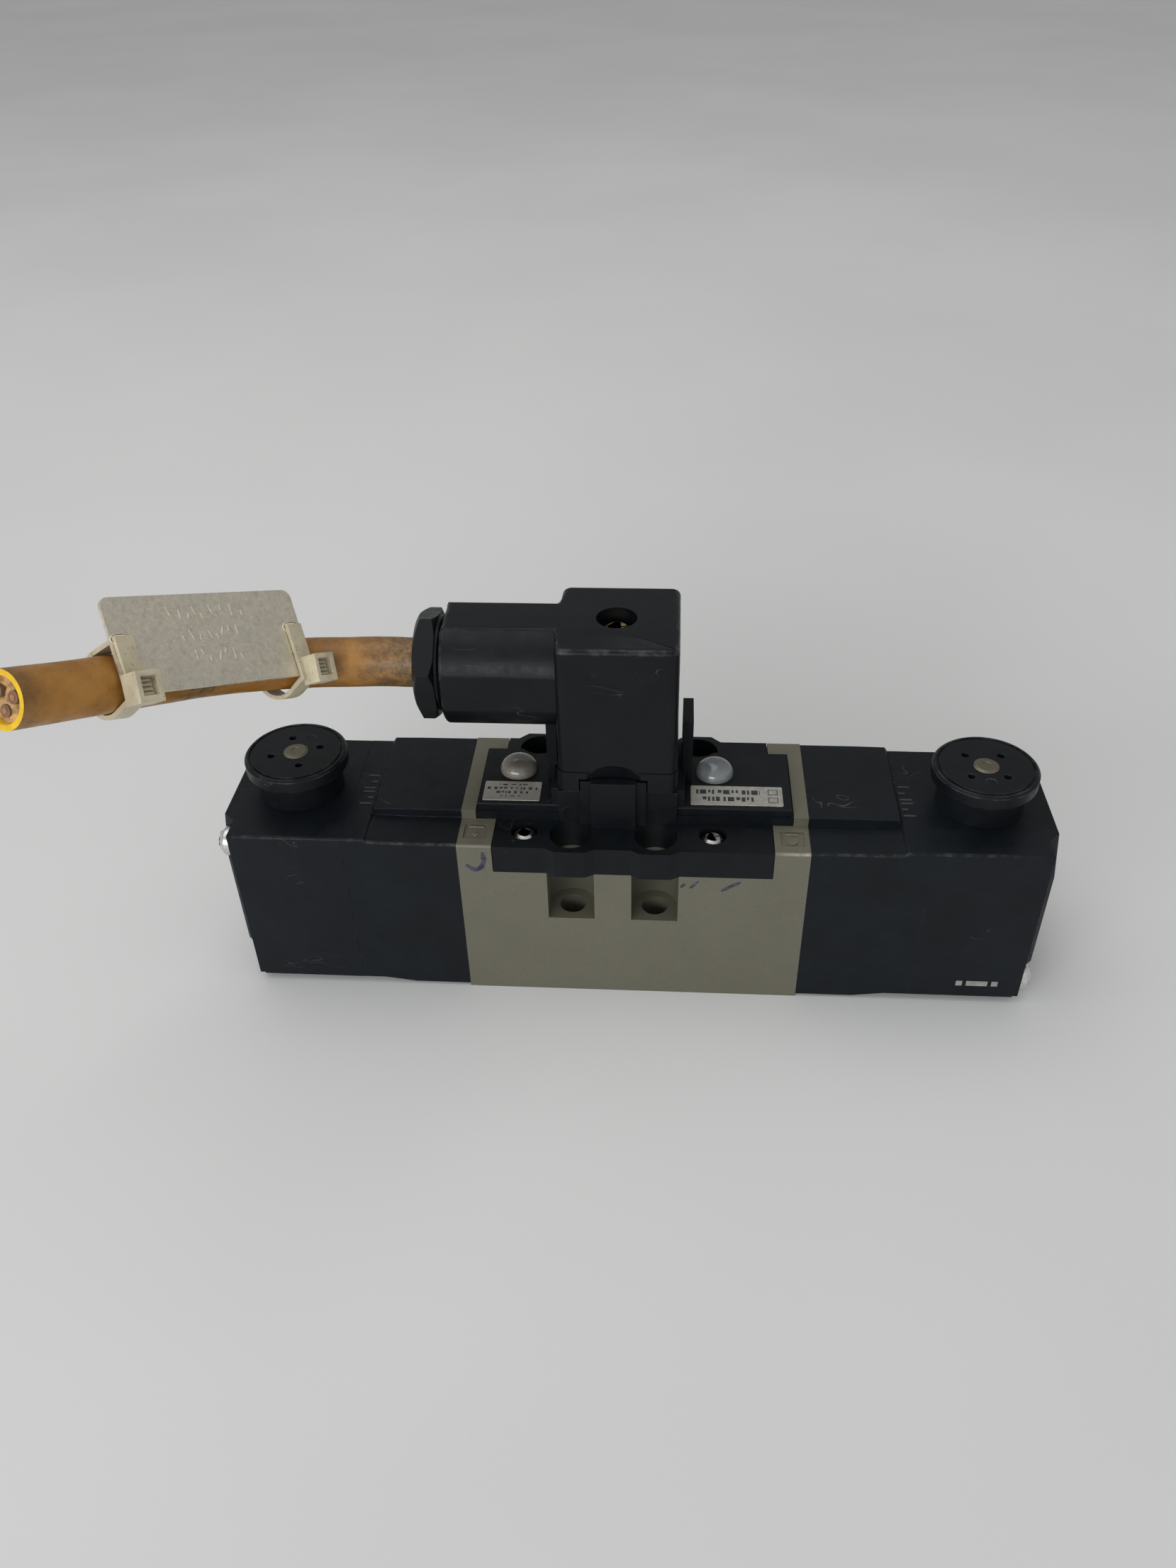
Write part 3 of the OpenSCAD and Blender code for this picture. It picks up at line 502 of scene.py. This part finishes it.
def skin(node, material, width=0.25, segments=2, softs=(), cutters=(), angle=26, body="valve"):
    """A CAD node's own shape with rounded edges, which stands for that node.

    softs holds (test, width): edges whose middle passes the test get that wider rounding first.
    """
    bm = node_mesh(node)
    if cutters:
        bm = carved(bm, cutters)
    for test, soft_width in softs:
        chosen = [e for e in sharp_edges(bm, angle) if test(middle(e))]
        round_edges(bm, chosen, soft_width, 4, clamp=False)
    round_edges(bm, sharp_edges(bm, angle), width, segments)
    made = piece(node + "_skin", bm, [material], body)
    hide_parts(node)
    return made


def add_box(bm, lo, hi, turn=0.0, top=1.0):
    """A box from corner to corner, turned about its own upright axis; top below 1 tapers it."""
    lo, hi = Vector(lo), Vector(hi)
    centre, size = (lo + hi) / 2, hi - lo
    made = bmesh.ops.create_cube(bm, size=1.0)["verts"]
    for v in made:
        share = top if v.co.z > 0 else 1.0
        flat = Vector((v.co.x * size.x * share, v.co.y * size.y * share, v.co.z * size.z))
        v.co = centre + Matrix.Rotation(turn, 3, "Z") @ flat
    return made


def add_rod(bm, centre, radius, low, high, sides=48):
    """An upright cylinder."""
    made = bmesh.ops.create_cone(bm, cap_ends=True, segments=sides, radius1=radius, radius2=radius,
                                 depth=high - low)["verts"]
    for v in made:
        v.co += Vector((centre[0], centre[1], (low + high) / 2))
    return made


def lathe(profile, steps=96):
    """A surface turned about the Z axis from (radius, height) points; it starts and ends on the axis."""
    bm = new_mesh()
    rings = []
    for r, z in profile:
        if r < 1e-6:
            rings.append([bm.verts.new((0, 0, z))])
        else:
            rings.append([bm.verts.new((r * math.cos(a), r * math.sin(a), z))
                          for a in (2 * math.pi * i / steps for i in range(steps))])
    for lower, upper in zip(rings, rings[1:]):
        for i in range(steps):
            j = (i + 1) % steps
            around = [lower[i % len(lower)], lower[j % len(lower)],
                      upper[j % len(upper)], upper[i % len(upper)]]
            bm.faces.new(list(dict.fromkeys(around)))
    return bm


def tube(points, radius, sides, wobble=0.0, close=True):
    """Rings along a line of points, each turned as little as possible from the one before."""
    bm = new_mesh()
    rings = []
    side = None
    for i, point in enumerate(points):
        ahead = (points[min(i + 1, len(points) - 1)] - points[max(i - 1, 0)]).normalized()
        side = ahead.cross(Vector((0, 0, 1))) if side is None else side - ahead * side.dot(ahead)
        side.normalize()
        up = side.cross(ahead)
        ring = []
        for k in range(sides):
            a = 2 * math.pi * k / sides
            away = math.cos(a) * side + math.sin(a) * up
            lump = wobble * noise.noise(point * 0.12 + away * 0.9)
            ring.append(bm.verts.new(point + away * (radius + lump)))
        rings.append(ring)
    for a, b in zip(rings, rings[1:]):
        for k in range(sides):
            bm.faces.new((a[k], a[(k + 1) % sides], b[(k + 1) % sides], b[k]))
    if close:
        bm.faces.new(reversed(rings[0]))
        bm.faces.new(rings[-1])
    return bm, rings


def smooth_line(points, per_span):
    """Catmull-Rom curve through the points."""
    padded = [2 * points[0] - points[1], *points, 2 * points[-1] - points[-2]]
    line = []
    for p0, p1, p2, p3 in zip(padded, padded[1:], padded[2:], padded[3:]):
        for i in range(per_span):
            t = i / per_span
            line.append(0.5 * (2 * p1 + (p2 - p0) * t + (2 * p0 - 5 * p1 + 4 * p2 - p3) * t * t
                               + (3 * p1 - p0 - 3 * p2 + p3) * t ** 3))
    return [*line, points[-1]]


# ---------------------------------------------------------------- cable, tag and ties

CABLE_D = 12.0
CABLE = [
    (-52.1, 4.5, 85.4), (-61.5, 4.4, 85.5), (-68.3, 3.4, 85.9), (-74.9, 1.5, 86.8),
    (-81, -1.3, 88.1), (-86.7, -4.9, 89.8), (-91.7, -9.2, 91.8), (-95.9, -14.1, 94.1),
    (-99.3, -19.5, 96.7), (-102, -25.3, 99.4), (-104.7, -31, 102.1), (-107.4, -36.8, 104.8),
    (-110.1, -42.5, 107.5), (-112.8, -48.3, 110.2), (-115.5, -54, 112.9), (-118.2, -59.8, 115.6)]
CORE_RING = 2.35       # cores lie on this radius inside the jacket
CORE_R = 1.35
JACKET_WALL = 1.3
CUT_DEPTH = 1.6        # the filler is sunk this far behind the jacket's cut edge


def make_cable(mats):
    """The cut cable: jacket with its bright cut edge, filler and three cores at the open end."""
    route = [Vector(p) for p in CABLE]
    line = smooth_line(route, 12)
    length = sum((b - a).length for a, b in zip(line, line[1:]))
    bm, rings = tube(line, CABLE_D / 2, 56, wobble=0.12, close=False)
    grime_and_painted_shade = bm.verts.layers.float["grime_and_painted_shade"]
    travelled = 0.0
    for i, ring in enumerate(rings):
        if i:
            travelled += (line[i] - line[i - 1]).length
        # Grime with painted shade: strongest where the cable leaves the gland, at two spots by the tag and
        # towards the cut end
        by_gland = max(0.0, 1 - travelled / 16)
        by_tag = math.exp(-((travelled - 58) / 7) ** 2) * 0.8 + math.exp(-((travelled - 22) / 6) ** 2) * 0.35
        by_end = max(0.0, 1 - (length - travelled) / 7) * 0.5
        for v in ring:
            v[grime_and_painted_shade] = min(1.0, by_gland ** 0.55 + by_tag + by_end)
    bm.faces.new(reversed(rings[0]))
    ahead = (line[-1] - line[-2]).normalized()
    outer = rings[-1]
    inner_r = CABLE_D / 2 - JACKET_WALL

    def shrunk(ring, radius, back):
        centre = line[-1]
        made = []
        for v in ring:
            away = (v.co - centre)
            away -= ahead * away.dot(ahead)
            made.append(bm.verts.new(centre + away.normalized() * radius - ahead * back))
        return made

    steps = [shrunk(outer, CABLE_D / 2 - 0.18, 0.0), shrunk(outer, inner_r + 0.1, 0.05),
             shrunk(outer, inner_r, 0.35), shrunk(outer, inner_r, CUT_DEPTH + 0.6)]
    before = outer
    for ring in steps:
        for k in range(len(ring)):
            face = bm.faces.new((before[k], before[(k + 1) % len(ring)], ring[(k + 1) % len(ring)], ring[k]))
            face.material_index = 1
        before = ring
    bm.faces.new(before).material_index = 1
    jacket = piece("cable_jacket", bm, [mats["jacket"], mats["jacket_cut"]],
                   sharp=50, weighted=False)
    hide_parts("cable")

    side = ahead.cross(Vector((0, 0, 1))).normalized()
    up = side.cross(ahead)
    bm = new_mesh()
    turn = Matrix((side, up, ahead)).transposed()
    rng = random.Random(7)
    made = bmesh.ops.create_grid(bm, x_segments=26, y_segments=26, size=inner_r - 0.03)["verts"]
    for v in made:
        far = v.co.length
        if far > inner_r - 0.03:
            v.co *= (inner_r - 0.03) / far
        v.co.z = -CUT_DEPTH + 0.5 * noise.noise(v.co * 0.9) + 0.25 * rng.random()
    for v in bm.verts:
        v.co = line[-1] + turn @ v.co
    filler = piece("cable_filler", bm, [mats["filler"]], sharp=60, weighted=False)
    cores = []
    for i in range(3):
        a = math.radians(35 + 120 * i)
        foot = turn @ Vector((CORE_RING * math.cos(a), CORE_RING * math.sin(a), 0)) + line[-1]
        start, end = foot - ahead * (CUT_DEPTH + 0.9), foot - ahead * (0.35 + 0.3 * i)
        core, _ = tube([start, (start + end) / 2, end], CORE_R, 24)
        round_edges(core, [e for e in sharp_edges(core, 40)], 0.15, 2)
        cores.append(piece(f"core_{i + 1}", core, [mats["core"]]))
        wire, _ = tube([start, end + ahead * 0.12], 0.62, 16)
        round_edges(wire, [e for e in sharp_edges(wire, 40)], 0.1, 2)
        cores.append(piece(f"wire_{i + 1}", wire, [mats["copper"]]))
    return jacket, [filler, *cores], line, length


TAG_AT = Vector((-92.2, -19.1, 105.2))
TAG_TURN = Euler([math.radians(a) for a in (52.8, 21.9, 55.7)], "XYZ")
TAG_T = 0.8
TIE_X = 22.6
TIE_HEAD_XS = {"tie_near": 24.4, "tie_far": -22.9}


def on_tag(bm):
    bm.transform(Matrix.Translation(TAG_AT) @ TAG_TURN.to_matrix().to_4x4())
    return bm


def add_ridge(bm, x, y, length, lean, width=0.62, height=0.13):
    """A short rounded ridge pressed up out of the plate."""
    rows, columns = 6, 10
    grid = []
    for i in range(columns + 1):
        u = 2 * i / columns - 1
        line = []
        for j in range(rows + 1):
            w = 2 * j / rows - 1
            half = width / 2 * math.sqrt(max(0.0, 1 - u ** 6))
            rise = height * math.sqrt(max(0.0, (1 - w * w))) * (1 - u ** 6)
            across, along = w * half, u * length / 2
            px = x + along * math.sin(lean) + across * math.cos(lean)
            py = y + along * math.cos(lean) - across * math.sin(lean)
            line.append(bm.verts.new((px, py, TAG_T / 2 - 0.03 + rise)))
        grid.append(line)
    for a, b in zip(grid, grid[1:]):
        for j in range(rows):
            bm.faces.new((a[j], b[j], b[j + 1], a[j + 1]))


def make_tag(mats):
    """Steel tag plate with three rows of plain pressed ridges, and rolled rims on its slots."""
    plate = skin("tag_plate", mats["tag"], 0.14, 3)
    rng = random.Random(21)
    bm = new_mesh()
    for row, (y, first, count) in enumerate(((6.3, -9.5, 9), (1.4, -7.5, 8), (-3.6, -5.5, 7))):
        x = first
        for i in range(count):
            lean = rng.choice((-0.35, 0.0, 0.35))
            length = rng.choice((1.5, 2.4, 3.1))
            add_ridge(bm, x, y + (3.1 - length) / 2 * rng.choice((-1, 1)), length, lean)
            x += rng.choice((1.7, 2.2, 2.7))
    ridges = piece("tag_ridges", on_tag(bm), [mats["tag"]], sharp=70, weighted=False)
    bm = new_mesh()
    for x in (-TIE_X, TIE_X):
        around = [Vector((x + 2.55 * math.cos(a), 1.3 + 1.3 * math.sin(a), TAG_T / 2))
                  for a in (2 * math.pi * k / 40 for k in range(41))]
        rim, _ = tube(around, 0.2, 8)
        mesh = bpy.data.meshes.new("rim")
        rim.to_mesh(mesh)
        rim.free()
        bm.from_mesh(mesh)
        bpy.data.meshes.remove(mesh)
    rims = piece("tag_slot_rims", on_tag(bm), [mats["tag"]], sharp=80, weighted=False)
    return [plate, ridges, rims]


def make_ties(mats):
    """Cable ties: strap and head, with the head's window and the teeth of the strap in it."""
    made = []
    for name, x in TIE_HEAD_XS.items():
        window, strap = new_mesh(), new_mesh()
        add_box(window, (x - 1.9, -12.2, 3.6), (x + 1.9, -8.2, 7.5))
        made.append(skin(name, mats["nylon"], 0.45, 3, angle=30, cutters=[on_tag(window)]))
        for step in range(4):
            y = -11.9 + 0.95 * step
            add_box(strap, (x - 1.6, y, 3.3), (x + 1.6, y + 0.6, 4.3), top=0.8)
        round_edges(strap, sharp_edges(strap, 30), 0.1, 2)
        made.append(piece(name + "_teeth", on_tag(strap), [mats["nylon"]]))
    return made


# ---------------------------------------------------------------- valve pieces


def body_mark_cutters():
    """The two sunk squares on the front corners of the metal body."""
    cutters = []
    for sign in SIDES.values():
        bm = new_mesh()
        x = sorted((sign * 36.0, sign * 41.75))
        add_box(bm, (x[0], -18.0, SHELF_Z - 0.45), (x[1], -12.6, SHELF_Z + 1))
        cutters.append(bm)
    return cutters


def long_edges(lo_z, face_y):
    """Test for the long top edges along the front and the back."""
    return lambda p: p.z > lo_z and (p.y < -face_y or p.y > face_y)


def make_body(mats):
    made = skin("valve_body", mats["body"], 0.3, 3,
                softs=[(lambda p: p.z > SHELF_Z - 0.4 and abs(p.x) > 34.6 and p.y < BODY_LO.y + 0.2, 0.7)],
                cutters=body_mark_cutters())
    # Plain raised shapes in the sunk squares
    bm = new_mesh()
    low, high = SHELF_Z - 0.5, SHELF_Z - 0.08
    add_box(bm, (-40.9, -13.6, low), (-36.8, -13.0, high), top=0.9)
    add_box(bm, (-39.6, -16.9, low), (-38.2, -15.4, high), turn=math.radians(45), top=0.85)
    add_box(bm, (37.0, -13.7, low), (40.7, -13.0, high), top=0.9)
    add_rod(bm, (38.9, -15.9), 1.3, low, high)
    round_edges(bm, sharp_edges(bm, 30), 0.08, 2)
    piece("body_marks", bm, [mats["body"]])
    return made


def make_ends(mats):
    """Adapters, housings, end covers, caps and pins on both sides."""
    for side, sign in SIDES.items():
        skin(f"adapter_{side}", mats["adapter"], 0.28, 2,
             softs=[(long_edges(47, NEAR_FACE), 0.7)])
        skin(f"housing_{side}", mats["housing"], 0.3, 2,
             softs=[(long_edges(48, NEAR_FACE), 0.8)])
        skin(f"end_cover_{side}", mats["plate"], 0.25, 2)
        skin(f"cap_{side}", mats["cap"], 0.28, 3)
        pin_lo, pin_hi = box_mm(f"pin_{side}")
        centre = ((pin_lo.x + pin_hi.x) / 2, (pin_lo.y + pin_hi.y) / 2)
        ring = new_mesh()
        add_rod(ring, centre, 1.25, pin_hi.z - 0.22, pin_hi.z + 0.5)
        skin(f"pin_{side}", mats["pin"], 0.12, 2, cutters=[ring], body=f"override_{side}")
        for height in ("high", "low"):
            skin(f"end_screw_{side}_{height}", mats["zinc"], 0.22, 3)
        make_ramp_marks(side, sign, mats)


def make_ramp_marks(side, sign, mats):
    """Plain raised bars on the adapter's top, beside the housing."""
    top = box_mm(f"housing_{side}")[1].z
    bm = new_mesh()
    y = -6.6
    for reach, gap in ((1.0, 2.5), (0.55, 2.4), (1.0, 1.5), (1.0, 2.6), (0.55, 2.6), (1.0, 0)):
        near, far = MARKS_X, MARKS_X + MARKS_LONG * reach
        for v in add_box(bm, (near, y - 0.3, top - 0.2), (far, y + 0.3, top + 0.18), top=0.75):
            v.co.x *= sign
        y += gap
    bmesh.ops.recalc_face_normals(bm, faces=bm.faces)
    round_edges(bm, sharp_edges(bm, 30), 0.07, 2)
    piece(f"ramp_marks_{side}", bm, [mats["mark"]])


def make_print(mats):
    """Three plain printed dashes low on the front of the right housing."""
    lo, hi = box_mm("housing_right")
    bm = new_mesh()
    for x0, x1 in ((83.6, 85.2), (86.2, 91.6), (92.6, 94.2)):
        add_box(bm, (x0, lo.y - 0.03, 6.0), (x1, lo.y + 0.1, 7.7))
    piece("housing_print", bm, [mats["print"]])


def add_stroke(bm, path, width, rng):
    """A ragged pen stroke on the front face, through (x, z) points."""
    line = smooth_line([Vector((x, 0, z)) for x, z in path], 10)
    rows = []
    for i, p in enumerate(line):
        ahead = (line[min(i + 1, len(line) - 1)] - line[max(i - 1, 0)]).normalized()
        side = Vector((-ahead.z, 0, ahead.x))
        taper = min(1.0, 0.45 + 3.0 * min(i, len(line) - 1 - i) / len(line))
        half = width / 2 * taper * (0.8 + 0.4 * rng.random())
        rows.append([bm.verts.new(p + side * half + Vector((0, BODY_LO.y - 0.02, 0))),
                     bm.verts.new(p - side * half + Vector((0, BODY_LO.y - 0.02, 0)))])
    for a, b in zip(rows, rows[1:]):
        bm.faces.new((a[0], a[1], b[1], b[0]))


def make_pen_strokes(mats):
    """Stray pen strokes that somebody left on the metal body."""
    rng = random.Random(5)
    bm = new_mesh()
    add_stroke(bm, ((-36.6, 47.2), (-36.4, 44.8), (-37.1, 42.4), (-38.9, 41.4), (-40.9, 42.9)), 1.3, rng)
    add_stroke(bm, ((12.0, 37.3), (13.1, 38.6)), 0.9, rng)
    add_stroke(bm, ((14.2, 37.1), (15.1, 38.0), (16.4, 39.6)), 0.75, rng)
    add_stroke(bm, ((22.0, 36.4), (24.0, 37.9), (26.7, 39.6)), 0.95, rng)
    piece("pen_strokes", bm, [mats["pen"]], weighted=False)


def make_cover(mats):
    """Top cover with its screws, lenses and labels."""
    skin("top_cover", mats["cover"], 0.28, 2,
         softs=[(lambda p: abs(p.z - COVER_TOP) < 0.1 and p.y < -9.2, 0.5)])
    for side in SIDES:
        skin(f"cover_screw_{side}", mats["zinc"], 0.14, 2)
        make_lens(side, mats)
    make_label("left", mats)
    make_label("right", mats)


def make_lens(side, mats):
    lo, hi = box_mm(f"lens_{side}")
    centre = (lo + hi) / 2
    radius = (hi.x - lo.x) / 2
    dome = [(radius * math.cos(math.radians(a)), (hi.z - COVER_TOP - 0.3) * math.sin(math.radians(a)) + 0.3)
            for a in range(0, 90, 5)]
    profile = [(0, -2.2), (3.5, -2.2), (3.5, 0.0), (radius, 0.0), *dome, (0, hi.z - COVER_TOP)]
    bm = lathe(profile)
    deep = bm.verts.layers.float["middle"]
    for v in bm.verts:
        v[deep] = max(0.0, 1 - (v.co.xy.length / radius) ** 1.6)
        v.co += Vector((centre.x, centre.y, COVER_TOP))
    bmesh.ops.remove_doubles(bm, verts=bm.verts, dist=0.001)
    made = piece(f"lens_{side}_dome", bm, [mats[f"lens_{side}"]],
                 sharp=50, weighted=False)
    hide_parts(f"lens_{side}")


def make_label(side, mats):
    """Foil label with rows of plain dark dashes."""
    skin(f"label_{side}", mats["foil"], 0.06, 2)
    lo, hi = box_mm(f"label_{side}")
    rng = random.Random(3 if side == "left" else 4)
    bm = new_mesh()
    if side == "left":
        rows = ((hi.y - 1.4, 0.55, 3.6, 1.2), (hi.y - 2.9, 1.0, 0.8, 0.8), (hi.y - 4.5, 0.9, 3.2, 1.0),
                (hi.y - 6.1, 0.5, 4.4, 1.0))
    else:
        rows = ((hi.y - 2.5, 1.7, 1.4, 1.6), (hi.y - 5.3, 1.7, 3.0, 1.6))
    for y, tall, inset, longest in rows:
        x = lo.x + inset
        last = hi.x - inset - (4.2 if side == "right" else 0)
        while x < last:
            long = longest * rng.choice((0.35, 0.6, 1.0))
            foot = y - tall / 2 * rng.choice((0.35, 1))
            add_box(bm, (x, foot, hi.z - 0.02), (min(x + long, last), y + tall / 2, hi.z + 0.02))
            x += long + rng.choice((0.35, 0.5, 0.9))
    if side == "right":
        for y0, y1 in ((hi.y - 3.3, hi.y - 1.2), (hi.y - 6.5, hi.y - 4.4)):
            for x0, x1 in ((hi.x - 3.6, hi.x - 3.4), (hi.x - 1.4, hi.x - 1.2)):
                add_box(bm, (x0, y0, hi.z - 0.02), (x1, y1, hi.z + 0.02))
            for y in (y0, y1 - 0.2):
                add_box(bm, (hi.x - 3.6, y, hi.z - 0.02), (hi.x - 1.2, y + 0.2, hi.z + 0.02))
    piece(f"label_{side}_dashes", bm, [mats["ink"]])


def make_connector(mats):
    """Plug hood, its base, nut and screw."""
    lo, hi = box_mm("hood")

    def edge_of_top(p):
        at_rim = p.y < HOOD_LO_Y + 0.6 or p.y > HOOD_HI_Y - 0.6 or abs(p.x - HOOD_X) > 12
        return p.z > hi.z - 0.2 and at_rim

    def barrel_mouth(p):
        return p.x < lo.x + 0.2 and (p.yz - Vector(CABLE[0]).yz).length > 12

    skin("hood", mats["hood"], 0.3, 2,
         softs=[(edge_of_top, 1.3), (barrel_mouth, 0.9)])
    skin("terminal_base", mats["base"], 0.3, 2)
    skin("terminal_block", mats["base"], 0.3, 2)
    skin("gland_nut", mats["nut"], 0.28, 2)
    skin("hood_screw", mats["brass"], 0.16, 2)
    # Thread of the gland nut, seen in the gap between nut and barrel
    nut_lo, nut_hi = box_mm("gland_nut")
    centre_y, centre_z = (nut_lo.y + nut_hi.y) / 2, (nut_lo.z + nut_hi.z) / 2
    first_x, thread_long, thread_r, steps = -47.7, 2.4, 10.4, 60
    turns = [Vector((first_x + thread_long * t / steps, centre_y + thread_r * math.cos(t * math.pi / 12),
                     centre_z + thread_r * math.sin(t * math.pi / 12))) for t in range(steps + 1)]
    bm, _ = tube(turns, 0.35, 8)
    piece("gland_thread", bm, [mats["nut"]], sharp=70, weighted=False)


INNER = {
    "rubber": ["adapter_gasket_left", "adapter_gasket_right", "housing_gasket_left", "housing_gasket_right",
               "cover_gasket", "connector_gasket", "gland_grommet", "piston_seal_left", "piston_seal_right"],
    "zinc": ["adapter_screws_left", "adapter_screws_right"],
    "sleeve": ["spool_sleeve"],
    "ground": ["spool", "piston_left", "piston_right"],
    "magnet": ["core_tube_left", "core_tube_right", "armature_left", "armature_right"],
    "spring": ["armature_spring_left", "armature_spring_right"],
    "bobbin": ["bobbin_left", "bobbin_right"],
    "winding": ["winding_left", "winding_right"],
    "tin": ["contact_blades"],
    "board": ["circuit_board"],
    "lamp": ["lamp_left", "lamp_right"],
}


def finish_inner(mats):
    """Pieces inside keep their CAD shape and get their own material."""
    for key, nodes in INNER.items():
        for node in nodes:
            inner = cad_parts[node]
            if not inner.material_slots:
                inner.data.materials.append(mats[key])
            for slot in inner.material_slots:
                slot.material = mats[key]


def make_floor():
    """A plain pale floor, wide enough to fill the view."""
    g = Graph("pale_floor", (0.66, 0.68, 0.70), 0.6, spec=0.25)
    broad = g.noise(300, 3.0)
    g.color(g.mix(g.ramp(broad, 0.3, 0.7), (0.69, 0.695, 0.695), (0.73, 0.735, 0.735)))
    g.bump(g.noise(9, 2.0, 0.5, g.scaled((0.2, 1, 1))), 0.03, 0.3)
    bm = new_mesh()
    bmesh.ops.create_grid(bm, x_segments=1, y_segments=1, size=6)
    mesh = bpy.data.meshes.new("floor")
    bm.to_mesh(mesh)
    bm.free()
    mesh.materials.append(g.material)
    floor = link("floor", mesh)
    floor.location = (0, 2, -0.00005)


# ---------------------------------------------------------------- put together

BODY_LO, BODY_HI = box_mm("valve_body")
SHELF_Z = BODY_HI.z - 2.5
COVER_TOP = box_mm("label_left")[1].z - 0.2
NEAR_FACE = BODY_HI.y - 1.1    # edges further out than this lie along the front or the back
MARKS_X, MARKS_LONG = 66.3, 3.6
HOOD_X = -3.9
HOOD_LO_Y, HOOD_HI_Y = box_mm("hood")[0].y, box_mm("hood")[1].y

make_camera()
mats = make_materials()
jacket, cable_end, line, cable_length = make_cable(mats)
on_cable = [*cable_end, *make_tag(mats), *make_ties(mats)]
make_body(mats)
make_ends(mats)
make_print(mats)
make_pen_strokes(mats)
make_cover(mats)
make_connector(mats)
finish_inner(mats)
make_floor()
make_light()
